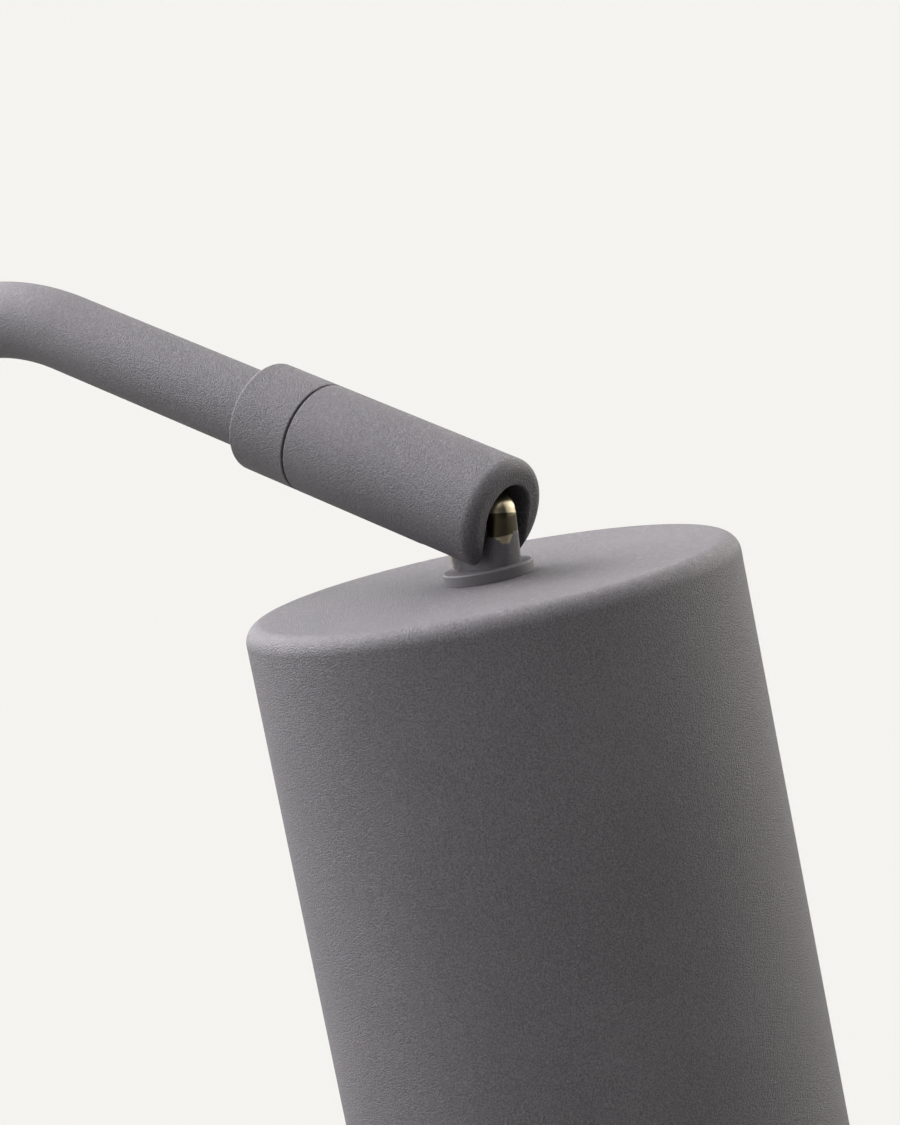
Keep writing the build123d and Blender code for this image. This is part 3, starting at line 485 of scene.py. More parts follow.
def powder_coat(name, colour):
    """Sand-textured matte powder coat with rubbed edges and a little dust."""
    material, tree, shader = new_material(name)
    sand = group_node(tree, "sand_texture")
    worn = group_node(tree, "edge_wear", Amount=0.35)["Mask"]
    dust = group_node(tree, "settled_dust", Amount=0.14)["Mask"]
    base = tree.mix(tree.ramp(sand["Tone"], 0.42, 0.58), tinted(colour, 0.66), tinted(colour, 1.34))
    base = tree.mix(sand["Specks"], base, tinted(colour, 3.4))
    base = tree.mix(worn, base, tinted(colour, 1.7))
    base = tree.mix(dust, base, DUST_COLOUR)
    rough = tree.ramp(sand["Tone"], 0.3, 0.7, 0.50, 0.66)
    feed(tree, shader, Base_Color=base, Roughness=rough, Normal=bump(tree, sand["Height"], SAND_DEPTH))
    feed(tree, shader, IOR=1.5)
    return material


def metal(name, colour, roughness):
    """Plated or turned metal with faint marks and cloudiness."""
    material, tree, shader = new_material(name)
    handled = group_node(tree, "handled_metal")
    base = tree.mix(handled["Cloud"], tinted(colour, 0.86), tinted(colour, 1.10))
    rough = tree.ramp(handled["Cloud"], 0.3, 0.7, roughness * 0.8, roughness * 1.3)
    feed(tree, shader, Base_Color=base, Roughness=rough, Metallic=1.0)
    feed(tree, shader, Normal=bump(tree, handled["Height"], METAL_DEPTH))
    return material


def moulded(name, colour, roughness, depth=0.02):
    """Moulded plastic, rubber or fired ceramic with a fine skin, whose depth is in millimetres."""
    material, tree, shader = new_material(name)
    skin = group_node(tree, "moulded_skin")
    worn = group_node(tree, "edge_wear", Amount=0.3)["Mask"]
    base = tree.mix(tree.ramp(skin["Tone"], 0.35, 0.65), tinted(colour, 0.85), tinted(colour, 1.12))
    base = tree.mix(worn, base, tinted(colour, 1.6))
    rough = tree.ramp(skin["Tone"], 0.3, 0.7, roughness - 0.06, roughness + 0.06)
    feed(tree, shader, Base_Color=base, Roughness=rough, Normal=bump(tree, skin["Height"], depth * MM))
    return material


def opal_glass(name):
    """White opal glass: glossy outside, with light spreading in the white layer."""
    material, tree, shader = new_material(name)
    skin = group_node(tree, "moulded_skin", Grains_per_metre=300.0)
    base = tree.mix(skin["Tone"], (0.86, 0.85, 0.82, 1.0), (0.93, 0.92, 0.89, 1.0))
    feed(tree, shader, Base_Color=base, Roughness=tree.ramp(skin["Tone"], 0.3, 0.7, 0.06, 0.12))
    feed(tree, shader, Subsurface_Weight=0.4, Subsurface_Scale=0.004, Coat_Weight=0.6, Coat_Roughness=0.04)
    return material


def plated_tongue(name, paint, plating):
    """The tilt tongue: bright plating above, powder coat below with a speckled edge of overspray.

    Places are measured from the tilt axis: up the head's line, to the front and across. The plating has a
    painted reflection below its bright top, a dark olive stretch standing for the dark surroundings it would
    mirror, and a bare patch low on the back of the neck.
    """
    coat_edge, coat_slant, coat_fray = (-1.95 * MM, -1.65 * MM), 0.08, 1.3 * MM
    dip_side, dip_sides, dip_drop, dip_front = -1.7 * MM, (2.0 * MM, 0.6 * MM), 1.9 * MM, (3.0 * MM, 4.0 * MM)
    patch_back, patch_top, patch_fray = (-5.0 * MM, -5.6 * MM), (-7.6 * MM, -7.4 * MM), (0.40, 0.46)
    # Where and how dark the painted reflection on the plating is: a dark olive colour, not a stain.
    reflection_slant, reflection_top, reflection_foot = 0.2, (2.1 * MM, 1.85 * MM), (-2.2 * MM, -1.9 * MM)
    painted_reflection_colour, painted_reflection_share = (0.062, 0.052, 0.033, 1.0), 0.93
    coat_depth = 0.10 * MM

    material, tree, shader = new_material(name)
    sand = group_node(tree, "sand_texture")
    handled = group_node(tree, "handled_metal", Marks_per_metre=1400.0)
    where = tree.add("ShaderNodeTexCoord").outputs["Object"]
    offset = tree.add("ShaderNodeVectorMath", {0: where, 1: tuple(TILT)}, operation="SUBTRACT").outputs[0]
    height_up, depth, across = (
        tree.add("ShaderNodeVectorMath", {0: offset, 1: tuple(way)}, operation="DOT_PRODUCT").outputs["Value"]
        for way in (HEAD_LINE.along, HEAD_LINE.front, SWING_AXIS)
    )

    beside = tree.math("ABSOLUTE", tree.math("SUBTRACT", across, dip_side))
    dip = tree.math("MULTIPLY", tree.ramp(beside, *dip_sides, 0.0, dip_drop), tree.ramp(depth, *dip_front))
    slanting = tree.math("ADD", height_up, tree.math("MULTIPLY", across, coat_slant))
    spray = tree.noise(where, 1700.0, 3.0, 0.7)
    fray = tree.math("MULTIPLY", tree.math("SUBTRACT", spray, 0.5), coat_fray)
    bare = tree.ramp(tree.math("ADD", tree.math("ADD", slanting, dip), fray), *coat_edge)
    patch = tree.math("MULTIPLY", tree.ramp(depth, *patch_back), tree.ramp(height_up, *patch_top))
    bare = tree.math("MAXIMUM", bare, tree.math("MULTIPLY", patch, tree.ramp(spray, *patch_fray)))

    coat = tree.mix(tree.ramp(sand["Tone"], 0.36, 0.64), tinted(paint, 0.86), tinted(paint, 1.14))
    bright = tree.mix(handled["Cloud"], tinted(plating, 0.80), tinted(plating, 1.15))
    # Painted reflection: the plating below its bright top is darkened towards dark olive, standing for the
    # dark surroundings it mirrors.
    reflection_level = tree.math("ADD", height_up, tree.math("MULTIPLY", across, reflection_slant))
    painted_reflection = tree.math("MULTIPLY", tree.ramp(reflection_level, *reflection_top), tree.ramp(height_up, *reflection_foot))
    bright = tree.mix(tree.math("MULTIPLY", painted_reflection, painted_reflection_share), bright, painted_reflection_colour)
    rough = tree.blend(bare, 0.58, tree.ramp(handled["Cloud"], 0.3, 0.7, 0.26, 0.42))
    height = tree.math("MULTIPLY", sand["Height"], tree.math("SUBTRACT", 1.0, bare))
    feed(tree, shader, Base_Color=tree.mix(bare, coat, bright), Roughness=rough, Metallic=bare)
    feed(tree, shader, Normal=bump(tree, height, coat_depth))
    return material


def finishes():
    """How to make every finish, by its name."""
    colours = bpy.context.scene.lamp_colours
    return {
        "graphite_paint": lambda name: powder_coat(name, colours.paint),
        "shade_white": lambda name: powder_coat(name, colours.inside),
        "tongue_finish": lambda name: plated_tongue(name, colours.paint, colours.nickel),
        "plated_nickel": lambda name: metal(name, colours.nickel, 0.2),
        "zinc_steel": lambda name: metal(name, (0.55, 0.56, 0.58), 0.34),
        "cast_weight": lambda name: moulded(name, (0.09, 0.088, 0.085), 0.7, 0.12),
        "black_rubber": lambda name: moulded(name, (0.03, 0.03, 0.03), 0.8, 0.05),
        "black_nylon": lambda name: moulded(name, (0.035, 0.035, 0.037), 0.45),
        "holder_plastic": lambda name: moulded(name, (0.045, 0.045, 0.047), 0.42),
        "button_plastic": lambda name: moulded(name, (0.06, 0.06, 0.064), 0.4),
        "terminal_plastic": lambda name: moulded(name, (0.78, 0.78, 0.74), 0.45),
        "lead_sheath": lambda name: moulded(name, (0.05, 0.05, 0.05), 0.5),
        "ceramic_insert": lambda name: moulded(name, (0.84, 0.82, 0.77), 0.5),
        "contact_brass": lambda name: metal(name, (0.78, 0.58, 0.28), 0.25),
        "cap_aluminium": lambda name: metal(name, (0.78, 0.78, 0.79), 0.28),
        "opal_glass": opal_glass,
    }


def finish(name):
    """One finish, made the first time that it is asked for."""
    return bpy.data.materials.get("lamp_" + name) or finishes()[name]("lamp_" + name)


# ---------------------------------------------------------------- pieces


class LAMP_OT_shade(bpy.types.Operator):
    """Builds the shade: a closed wall with a soft top edge, a rolled lip and a hole for the nipple"""

    bl_idname = "lamp.shade"
    bl_label = "Shade"

    def execute(self, context):
        sizes = context.scene.lamp_sizes
        line = HEAD_LINE.at(SHADE_TOP)
        radius, length = half_width("shade"), SHADE_TOP - SHADE_MOUTH
        wall, lip, hole_edge = sizes.shade_wall, sizes.shade_lip, 0.15 * MM
        lip_top = sizes.shade_lip_height - length
        outside, worn = rounded(
            [
                (NIPPLE_HOLE, -wall, 0.0),
                (NIPPLE_HOLE, 0.0, hole_edge),
                (radius, 0.0, sizes.shade_edge),
                (radius, -length, lip / 3),
                (radius - lip, -length, lip / 3),
                (radius - lip, lip_top, lip / 5),
                (radius - wall, lip_top, 0.0),
            ],
            closed=False,
        )
        inside, plain = rounded(
            [
                (radius - wall, lip_top, 0.0),
                (radius - wall, -wall, sizes.shade_edge - wall),
                (NIPPLE_HOLE, -wall, 0.0),
            ],
            closed=False,
        )
        skin, skin_wear = lathe((outside, worn), line, 288)
        lining, lining_wear = lathe((inside, plain * 0), line, 288)
        build_piece(
            "lamp_shade",
            [(skin, skin_wear, 0), (lining, lining_wear, 1)],
            [finish("graphite_paint"), finish("shade_white")],
            "head",
            ["shade"],
        )
        return {"FINISHED"}


class LAMP_OT_arm_tubes(bpy.types.Operator):
    """Builds the two arm tubes: a straight lower one, and an upper one that bends down to the collar"""

    bl_idname = "lamp.arm_tubes"
    bl_label = "Arm tubes"

    def execute(self, context):
        sizes = context.scene.lamp_sizes
        outer = half_width("upper_tube")
        inner = outer - sizes.tube_wall
        start, end = extent("lower_tube", LOWER_LINE)
        centres = LOWER_LINE.points(0.0, 0.0, np.linspace(start, end, 9))
        headings = np.repeat(LOWER_LINE.along[None], len(centres), 0)
        self.build("lower_arm_tube", tube(centres, headings, outer, inner), "lower_arm", "lower_tube")
        centres, headings = self.upper_path(sizes.bend_radius)
        self.build("upper_arm_tube", tube(centres, headings, outer, inner), "upper_arm", "upper_tube")
        return {"FINISHED"}

    def build(self, name, patch, body, node):
        """One painted tube from its grid."""
        build_piece(name, [patch], [finish("graphite_paint")], body, [node])

    def upper_path(self, radius):
        """Straight run, arc and straight run.

        The arc touches both runs, radius * tan(turn / 2) from the place where they would cross.
        """
        turn = acos(RISE_LINE.along @ NOSE_LINE.along)
        gap = NOSE_LINE.place - RISE_LINE.place
        reach = np.linalg.solve(np.stack([RISE_LINE.along[[0, 2]], -NOSE_LINE.along[[0, 2]]], 1), gap[[0, 2]])
        crossing = RISE_LINE.place + RISE_LINE.along * reach[0]
        cut = radius * tan(turn / 2)
        start = extent("upper_tube", RISE_LINE)[0]
        end = extent("upper_tube", NOSE_LINE)[1]
        first = RISE_LINE.points(0.0, 0.0, np.linspace(start, reach[0] - cut, 7))
        last = NOSE_LINE.points(0.0, 0.0, np.linspace(reach[1] + cut, end, 5))
        centre = crossing - RISE_LINE.along * cut + RISE_LINE.front * radius
        angle = np.linspace(0.0, turn, 49)[1:-1, None]
        arc = centre + radius * (np.sin(angle) * RISE_LINE.along - np.cos(angle) * RISE_LINE.front)
        arc_heading = np.cos(angle) * RISE_LINE.along + np.sin(angle) * RISE_LINE.front
        first_heading = np.repeat(RISE_LINE.along[None], len(first), 0)
        last_heading = np.repeat(NOSE_LINE.along[None], len(last), 0)
        return np.concatenate([first, arc, last]), np.concatenate([first_heading, arc_heading, last_heading])


class LAMP_OT_collar(bpy.types.Operator):
    """Builds the swivel collar on the end of the upper arm"""

    bl_idname = "lamp.collar"
    bl_label = "Swivel collar"

    def execute(self, context):
        sizes = context.scene.lamp_sizes
        radius, bore = half_width("swivel_collar"), half_width("upper_tube") + TUBE_FIT
        back, front = extent("swivel_collar", NOSE_LINE)
        tube_end = extent("upper_tube", NOSE_LINE)[1]
        flange = extent("swivel_stem", NOSE_LINE)[0] + STEM_FLANGE_DEPTH
        floor = max(tube_end, flange)
        outline = rounded(
            [
                (bore, back, BORE_EDGE),
                (bore, floor, 0.0),
                (STEM_HOLE, floor, 0.0),
                (STEM_HOLE, front, STEM_EDGE),
                (radius, front, sizes.seam_edge),
                (radius, back, sizes.collar_edge),
            ]
        )
        build_piece(
            "arm_collar",
            [lathe(outline, NOSE_LINE)],
            [finish("graphite_paint")],
            "upper_arm",
            ["swivel_collar"],
        )
        return {"FINISHED"}


def joined(piece, tool, operation):
    """Adds a closed tool to a piece or cuts it away, and makes the result the piece's own mesh."""
    step = piece.modifiers.new("join", "BOOLEAN")
    step.operation, step.object, step.solver = operation, tool, "EXACT"
    piece.modifiers.move(len(piece.modifiers) - 1, 0)
    even = piece.modifiers["even_normals"]
    even.show_viewport = False
    made = bpy.data.meshes.new_from_object(piece.evaluated_get(bpy.context.evaluated_depsgraph_get()))
    even.show_viewport = True
    piece.modifiers.remove(step)
    piece.data = made
    made.shade_smooth()
    made.set_sharp_from_angle(angle=SHARP_ANGLE)
    bpy.data.objects.remove(tool)


def loose_tool(name, patches):
    """A closed shape that only cuts or joins another piece."""
    grids = [patch[0] for patch in patches]
    starts = np.cumsum([0] + [grid.shape[0] * grid.shape[1] for grid in grids])
    faces = [quads(*grid.shape[:2], start) for grid, start in zip(grids, starts)]
    mesh = bpy.data.meshes.new(name)
    points = np.concatenate([grid.reshape(-1, 3) for grid in grids])
    mesh.from_pydata(points.tolist(), [], np.concatenate(faces).tolist())
    weld(mesh)
    tool = bpy.data.objects.new(name, mesh)
    bpy.context.scene.collection.objects.link(tool)
    return tool


class LAMP_OT_knuckle(bpy.types.Operator):
    """Builds the knuckle: a round bar with a soft nose, a slot that opens downwards and a bore behind it"""

    bl_idname = "lamp.knuckle"
    bl_label = "Knuckle"

    def execute(self, context):
        sizes = context.scene.lamp_sizes
        back, front = extent("knuckle_housing", NOSE_LINE)
        radius, half = half_width("knuckle_housing"), sizes.slot_width / 2
        nose, lip, slot = sizes.nose_edge, sizes.slot_edge, sizes.slot_depth
        slot_wear, seam_wear = 0.7, 0.8
        length, bore_depth = front - back, front - back - sizes.knuckle_web
        turn = np.linspace(0.0, pi / 2, 13)[1:]

        def slot_half(depth):
            """The slot's half width, which grows by a quarter circle to the front face."""
            inside = np.clip(lip - depth, 0.0, lip)
            return half + lip - np.sqrt(lip**2 - inside**2)

        def last_angle(distance, depth):
            """Angle from the top at which a circle of that radius meets the slot's side."""
            return pi - np.arcsin(np.minimum(slot_half(depth) / distance, 1.0))

        def spots(distance, angle, depth):
            """Frame points at a distance from the axis, an angle from the top and a depth from the front."""
            return NOSE_LINE.points(-distance * np.cos(angle), distance * np.sin(angle), front - depth)

        # The outer skin: the flat front, the round nose and the straight sides as far back as the slot.
        flat_radius = np.linspace(half + lip, radius - nose, 6)
        round_depth = nose * (1 - np.cos(turn))
        round_radius = radius - nose + nose * np.sin(turn)
        straight = np.linspace(nose, slot, 12)[1:]
        skin_radius = np.concatenate([flat_radius, round_radius, np.full(len(straight), radius)])[:, None]
        skin_depth = np.concatenate([0 * flat_radius, round_depth, straight])[:, None]
        across = np.linspace(-1.0, 1.0, 121)[None, :]
        skin = spots(skin_radius, across * last_angle(skin_radius, skin_depth), skin_depth)
        skin_wear = np.zeros(skin.shape[:2])
        skin_wear[0] = slot_wear

        # The slot's round top, from the edge round its mouth to its end.
        side_depth = skin_depth[len(flat_radius) - 1 :]
        arch = spots(slot_half(side_depth), across * pi / 2, side_depth)
        arch_wear = np.repeat(slot_wear * (side_depth < lip * 0.6), across.size, 1)

        # The slot's two flat walls.
        chord = np.sqrt(np.maximum(flat_radius**2 - (half + lip) ** 2, 0.0))
        share = chord / chord[-1]
        edge_radius = skin_radius[len(flat_radius) - 1 :]
        wall_half = slot_half(side_depth)
        drop = np.sqrt(edge_radius**2 - wall_half**2)
        walls = [NOSE_LINE.points(drop * share, side * wall_half, front - side_depth) for side in (-1, 1)]

        # The slot's end below the bore: it goes from the bore's lower half to the skin.
        low = np.linspace(0.0, 1.0, 41)[None, :]
        end_angle = last_angle(radius, slot)
        outer_low = end_angle + low * 2 * (pi - end_angle)
        inner_low = pi / 2 + low * pi
        weight = share[:, None]
        end_x = -(1 - weight) * half * np.cos(inner_low) - weight * radius * np.cos(outer_low)
        end_y = (1 - weight) * half * np.sin(inner_low) + weight * radius * np.sin(outer_low)
        slot_end = NOSE_LINE.points(end_x, end_y, front - slot)

        # Behind the slot: the skin, the edge at the seam, the rear face, the stem's hole and the bore.
        # Each row has a radius, a depth, and 1 where its angles follow the bore, or 0 for the skin.
        seam = sizes.seam_edge
        rear_round = np.linspace(0.0, pi / 2, 7)
        rear = np.array(
            [(radius, depth, 0.0) for depth in np.linspace(slot, length - seam, 9)[:-1]]
            + [(radius - seam + seam * cos(a), length - seam + seam * sin(a), 0.0) for a in rear_round]
            + [(STEM_HOLE, length, 1.0), (STEM_HOLE, bore_depth, 1.0)]
            + [(half, depth, 1.0) for depth in np.linspace(bore_depth, slot, 9)]
        )
        outer_all = np.concatenate([across * end_angle, outer_low[:, 1:]], 1)
        inner_all = np.concatenate([across * pi / 2, inner_low[:, 1:]], 1)
        angles = (1 - rear[:, 2:]) * outer_all + rear[:, 2:] * inner_all
        rear_skin = spots(rear[:, :1], angles, rear[:, 1:2])
        at_seam = (rear[:, 1:2] > length - seam) & (rear[:, 1:2] < length)
        rear_wear = np.repeat(at_seam * seam_wear, angles.shape[1], 1)

        plain = [(grid, np.zeros(grid.shape[:2])) for grid in walls + [slot_end]]
        piece = build_piece(
            "knuckle",
            [(skin, skin_wear), (arch, arch_wear), (rear_skin, rear_wear)] + plain,
            [finish("graphite_paint")],
            "knuckle",
            ["knuckle_housing"],
        )
        seat, beyond = extent("pivot_screw", TILT_LINE)[1] - SCREW_HEAD_HEIGHT, 2 * radius
        corners = ((0.0, seat), (SCREW_RECESS, seat), (SCREW_RECESS, beyond), (0.0, beyond))
        recess = lathe(rounded([corner + (0.0,) for corner in corners], closed=False), TILT_LINE, 64)
        joined(piece, loose_tool("recess", [recess]), "DIFFERENCE")
        return {"FINISHED"}


class LAMP_OT_tongue(bpy.types.Operator):
    """Builds the tilt tongue: a turned bar with two flats, a flared neck, a flange and a hollow nipple"""

    bl_idname = "lamp.tongue"
    bl_label = "Tilt tongue"

    def execute(self, context):
        sizes = context.scene.lamp_sizes
        low, top = extent("tilt_tongue", HEAD_LINE)
        sunk = sizes.flange_height / 4
        crown_flat, flare_power = 0.45, 2.2
        bar, neck, edge = sizes.tongue_depth / 2, sizes.neck_depth / 2, sizes.tongue_edge
        foot = SHADE_TOP + sizes.flange_height
        neck_start = SHADE_TOP + sizes.neck_height
        profile = rounded(
            [
                (neck, foot - sunk, 0.0),
                (neck, foot, sunk / 2),
                (bar, neck_start, edge),
                (bar, top - sizes.tongue_crown, sizes.tongue_round),
                (bar * crown_flat, top, bar),
                (0.0, top, 0.0),
            ],
            closed=False,
        )[0][:-1]

        # Each point moves inwards along the profile's normal by the edge's inset, and out to its own level.
        steps = np.gradient(profile, axis=0)
        normals = np.stack([steps[:, 1], -steps[:, 0]], 1)
        normals /= np.linalg.norm(normals, axis=1)[:, None]
        edge_turn = np.linspace(0.0, pi / 2, 6)
        flat = sizes.tongue_thickness / 2
        inset = edge * (1 - np.cos(edge_turn))
        level = flat - edge + edge * np.sin(edge_turn)
        inset = np.concatenate([inset[::-1], np.zeros(7), inset])
        side = np.concatenate([-level[::-1], np.linspace(-level[0], level[0], 9)[1:-1], level])
        distance = profile[None, :, 0] - inset[:, None] * normals[None, :, 0]
        height = profile[None, :, 1] - inset[:, None] * normals[None, :, 1]
        fall = np.clip((neck_start - height) / (neck_start - foot), 0.0, 1.0)
        spread = side[:, None] * (1 + sizes.neck_flare / flat * fall**flare_power)
        reach = np.sqrt(np.maximum(distance**2 - side[:, None] ** 2, 0.0))
        cap_share = np.linspace(1.0, -1.0, 13)[1:-1]
        bottom_share = np.linspace(-1.0, 1.0, 13)[1:-1]
        cap, bottom = reach[:, -1:] * cap_share, reach[:, :1] * bottom_share
        forward = np.concatenate([reach, cap, -reach[:, ::-1], bottom, reach[:, :1]], 1)
        upright, sideways = (self.all_round(values, len(cap_share)) for values in (height, spread))
        rim = HEAD_LINE.points(forward, sideways, upright)

        # The two flats, each from the rim to the edge of the pivot's hole.
        faces = []
        for row in (0, -1):
            angle = np.unwrap(np.arctan2(upright[row], forward[row]))
            share = np.linspace(0.0, 1.0, 7)[:, None]
            near_x = (1 - share) * forward[row] + share * PIVOT_HOLE * np.cos(angle)
            near_z = (1 - share) * upright[row] + share * PIVOT_HOLE * np.sin(angle)
            near_y = (1 - share) * sideways[row] + share * np.sign(side[row]) * flat
            faces.append(HEAD_LINE.points(near_x, near_y, near_z))
        tunnel = np.stack([faces[0][-1], faces[1][-1]])
        blank = [(grid, np.zeros(grid.shape[:2])) for grid in [rim] + faces + [tunnel]]
        plating = [finish("tongue_finish")]
        piece = build_piece("tongue", blank, plating, "head", ["tilt_tongue"])
        joined(piece, loose_tool("flange", [self.flange(low, foot, foot - 2 * sunk)]), "UNION")
        return {"FINISHED"}

    def all_round(self, values, count):
        """Values along the front, repeated over the top, back along the rear and repeated under the foot."""
        over, under = np.repeat(values[:, -1:], count, 1), np.repeat(values[:, :1], count, 1)
        return np.concatenate([values, over, values[:, ::-1], under, values[:, :1]], 1)

    def flange(self, low, foot, blind):
        """The turned flange with the hollow nipple below it, whose bore ends inside the flange."""
        radius = half_width("tilt_tongue")
        nipple_edge, foot_edge, top_edge = 0.4 * MM, 0.1 * MM, 0.45 * MM
        outline = [
            (0.0, blind, 0.0),
            (NIPPLE_BORE, blind, 0.0),
            (NIPPLE_BORE, low, 0.0),
            (NIPPLE_RADIUS, low, nipple_edge),
            (NIPPLE_RADIUS, SHADE_TOP, 0.0),
            (radius, SHADE_TOP, foot_edge),
            (radius, foot, top_edge),
            (0.0, foot, 0.0),
        ]
        return lathe(rounded(outline, closed=False), HEAD_LINE, 144)


class LAMP_OT_kept_nodes(bpy.types.Operator):
    """Gives every piece that keeps its frame mesh its finish"""

    bl_idname = "lamp.kept_nodes"
    bl_label = "Kept pieces"

    def execute(self, context):
        for name, node in frame["nodes"].items():
            slot_name = node.data.materials[0].name.split(".")[0]
            node.data.materials[0] = finish("tongue_finish" if name == "tilt_tongue" else slot_name)
        return {"FINISHED"}


# ---------------------------------------------------------------- stage

FLOOR_BOUNCE = 0.65  # how bright the floor is to everything but the camera
VIEW_AZIMUTH = radians(39.25)
VIEW_ELEVATION = radians(16.9)
GAZE_LEFT, GAZE_UP = 7.5 * MM, 2.8 * MM  # where the camera looks, from the middle of the shade's top
SENSOR_WIDTH = 36.0
COOL, WARM = (0.985, 0.965, 1.02), (1.03, 1.0, 0.94)
AMBIENT = 0.044

# Each lobe of light: how far its middle leans up, right and towards the camera, its strength, power and tint.
LIGHT_LOBES = (
    ((1.0, -0.4, 0.0), 2.65, 3.0, COOL),
    ((0.25, -0.78, -0.63), 14.5, 9.5, COOL),
    ((0.12, 0.72, -0.68), 6.4, 8.0, WARM),
    ((0.6, -0.9, 0.3), 0.4, 3.0, COOL),
)


class LampStage(bpy.types.PropertyGroup):
    """Camera and light."""

    distance: bpy.props.FloatProperty(
        name="Camera distance", description="From the shade's top to the camera", default=0.651, unit="LENGTH"
    )
    lens: bpy.props.FloatProperty(name="Lens", description="Focal length in millimetres", default=110.4)
    light: bpy.props.FloatProperty(name="Light", description="Strength of the studio light", default=1.0)


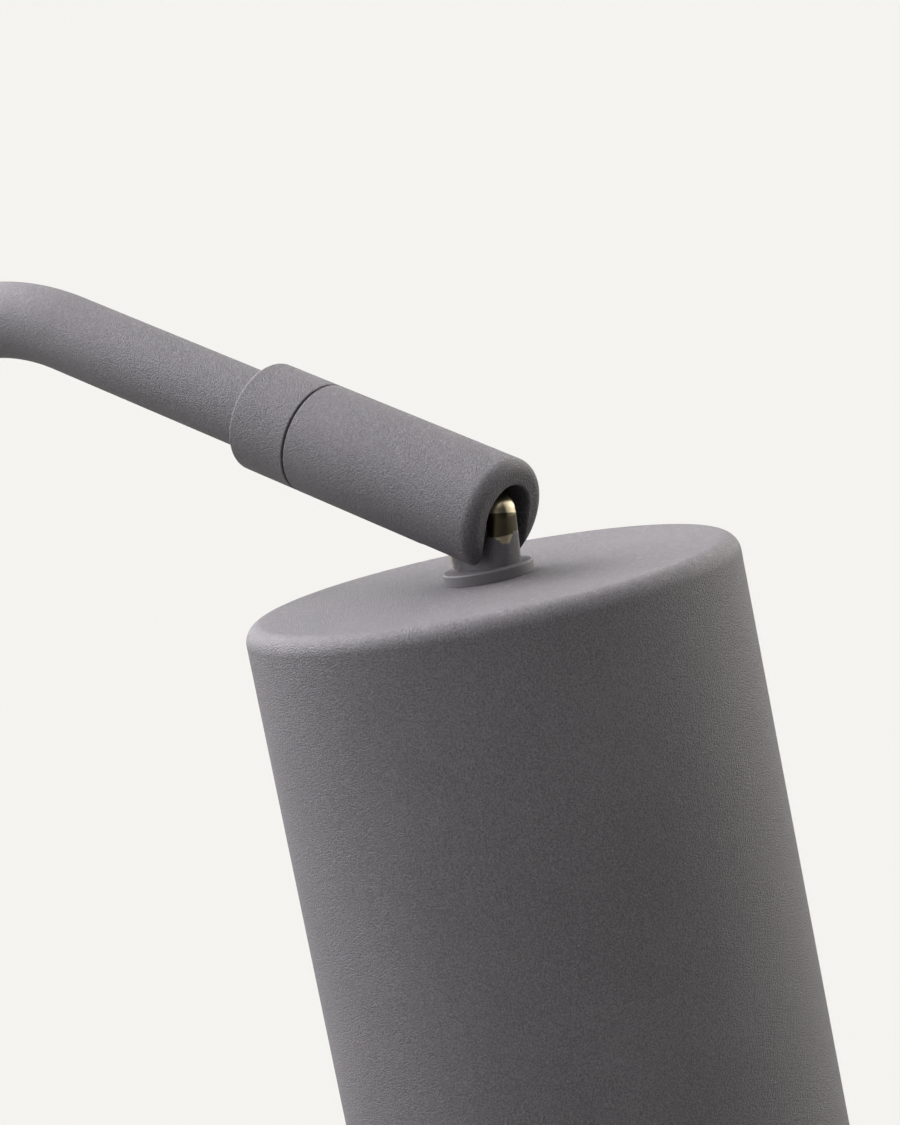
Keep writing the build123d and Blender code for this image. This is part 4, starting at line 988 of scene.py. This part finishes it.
class LAMP_OT_stage(bpy.types.Operator):
    """Builds the pale floor, the soft studio light and the camera"""

    bl_idname = "lamp.stage"
    bl_label = "Stage"

    def execute(self, context):
        settings = context.scene.lamp_stage
        viewer = np.array((sin(VIEW_AZIMUTH), -cos(VIEW_AZIMUTH), 0.0))
        right = np.array((cos(VIEW_AZIMUTH), sin(VIEW_AZIMUTH), 0.0))
        self.make_floor(context)
        self.make_light(context, viewer, right, settings.light)
        self.make_camera(context, viewer, right, settings)
        context.scene.view_settings.view_transform = "Standard"
        return {"FINISHED"}

    def make_floor(self, context):
        """A wide round floor at the height that the lamp stands on."""
        rings = np.array((0.0, 0.5, 2.0, 8.0, 30.0))[:, None]
        angle = np.linspace(0.0, 2 * pi, 65)[None, :]
        grid = np.stack([rings * np.cos(angle), rings * np.sin(angle), 0 * rings * angle], -1)
        mesh = bpy.data.meshes.new("floor")
        mesh.from_pydata(grid.reshape(-1, 3).tolist(), [], quads(*grid.shape[:2], 0)[:, ::-1].tolist())
        weld(mesh)
        material, tree, shader = new_material("pale_floor")
        where = tree.add("ShaderNodeTexCoord").outputs["Object"]
        tone = tree.noise(where, 900.0, 2.0, 0.5)
        colour = context.scene.lamp_colours.floor
        seen = tree.add("ShaderNodeLightPath").outputs["Is Camera Ray"]
        pale = tree.mix(tone, tinted(colour, 0.985), tinted(colour, 1.015))
        feed(tree, shader, Base_Color=tree.mix(seen, tinted(colour, FLOOR_BOUNCE), pale), Roughness=0.9)
        feed(tree, shader, Specular_IOR_Level=0.0)
        mesh.materials.append(material)
        floor = bpy.data.objects.new("floor", mesh)
        context.scene.collection.objects.link(floor)

    def make_light(self, context, viewer, right, strength):
        """Soft light from all round: a sum of wide lobes, each the cosine to its middle raised to a power."""
        world = bpy.data.worlds.new("studio")
        world.use_nodes = True
        tree = Tree(world.node_tree)
        direction = tree.add("ShaderNodeTexCoord").outputs["Generated"]
        total = tuple(AMBIENT * channel for channel in WARM)
        for (upward, rightward, nearer), amount, power, tint in LIGHT_LOBES:
            middle = unit(upward * UP + rightward * right + nearer * viewer)
            inputs = {0: direction, 1: tuple(middle)}
            cosine = tree.add("ShaderNodeVectorMath", inputs, operation="DOT_PRODUCT").outputs["Value"]
            inputs = {
                0: tuple(amount * channel for channel in tint),
                "Scale": tree.math("POWER", tree.math("MAXIMUM", cosine, 0.0), power),
            }
            lobe = tree.add("ShaderNodeVectorMath", inputs, operation="SCALE").outputs[0]
            total = tree.add("ShaderNodeVectorMath", {0: lobe, 1: total}, operation="ADD").outputs[0]
        colour = tuple(context.scene.lamp_colours.backdrop)
        seen = tree.add("ShaderNodeLightPath").outputs["Is Camera Ray"]
        background = world.node_tree.nodes["Background"]
        soft = tree.add("ShaderNodeBackground", {"Color": total, "Strength": strength})
        background.inputs["Color"].default_value = colour + (1.0,)
        background.inputs["Strength"].default_value = 1.0
        both = tree.add("ShaderNodeMixShader", {0: seen, 1: soft.outputs[0], 2: background.outputs[0]})
        tree.tree.links.new(both.outputs[0], world.node_tree.nodes["World Output"].inputs["Surface"])
        context.scene.world = world

    def make_camera(self, context, viewer, right, settings):
        """A long lens that looks at the head, with the shade's top a little right of and below the middle."""
        back = cos(VIEW_ELEVATION) * viewer + sin(VIEW_ELEVATION) * UP
        upward = np.cross(back, right)
        target = HEAD_LINE.at(SHADE_TOP).place - GAZE_LEFT * right + GAZE_UP * upward
        turned = Matrix(np.stack([right, upward, back], 1).tolist()).to_4x4()
        camera = bpy.data.objects.new("camera", bpy.data.cameras.new("camera"))
        camera.matrix_world = Matrix.Translation(target + back * settings.distance) @ turned
        camera.data.lens = settings.lens
        camera.data.sensor_width = SENSOR_WIDTH
        camera.data.clip_start, camera.data.clip_end = 0.01, 100.0
        context.scene.collection.objects.link(camera)
        context.scene.camera = camera


OPERATORS = (
    LAMP_OT_kept_nodes,
    LAMP_OT_shade,
    LAMP_OT_arm_tubes,
    LAMP_OT_collar,
    LAMP_OT_knuckle,
    LAMP_OT_tongue,
    LAMP_OT_stage,
)


class LAMP_PT_panel(bpy.types.Panel):
    """Lists the lamp's pieces and the settings they are built from"""

    bl_idname = "LAMP_PT_panel"
    bl_label = "Desk lamp"
    bl_space_type = "VIEW_3D"
    bl_region_type = "UI"
    bl_category = "Desk lamp"

    def draw(self, context):
        layout = self.layout
        for settings in (context.scene.lamp_sizes, context.scene.lamp_colours, context.scene.lamp_stage):
            box = layout.box()
            for name in settings.bl_rna.properties.keys():
                if name not in ("rna_type", "name"):
                    box.prop(settings, name)
        for operator in OPERATORS:
            layout.operator(operator.bl_idname)


CLASSES = (LampSizes, LampColours, LampStage) + OPERATORS + (LAMP_PT_panel,)


def register():
    """Registers the classes and puts the settings on the scene."""
    for one in CLASSES:
        bpy.utils.register_class(one)
    bpy.types.Scene.lamp_sizes = bpy.props.PointerProperty(type=LampSizes)
    bpy.types.Scene.lamp_colours = bpy.props.PointerProperty(type=LampColours)
    bpy.types.Scene.lamp_stage = bpy.props.PointerProperty(type=LampStage)


def unregister():
    """Takes the settings off the scene and unregisters the classes."""
    del bpy.types.Scene.lamp_stage
    del bpy.types.Scene.lamp_colours
    del bpy.types.Scene.lamp_sizes
    for one in reversed(CLASSES):
        bpy.utils.unregister_class(one)


def main():
    """Builds every piece and the stage."""
    register()
    for operator in OPERATORS:
        group, name = operator.bl_idname.split(".")
        getattr(getattr(bpy.ops, group), name)()


if __name__ == "__main__":
    main()
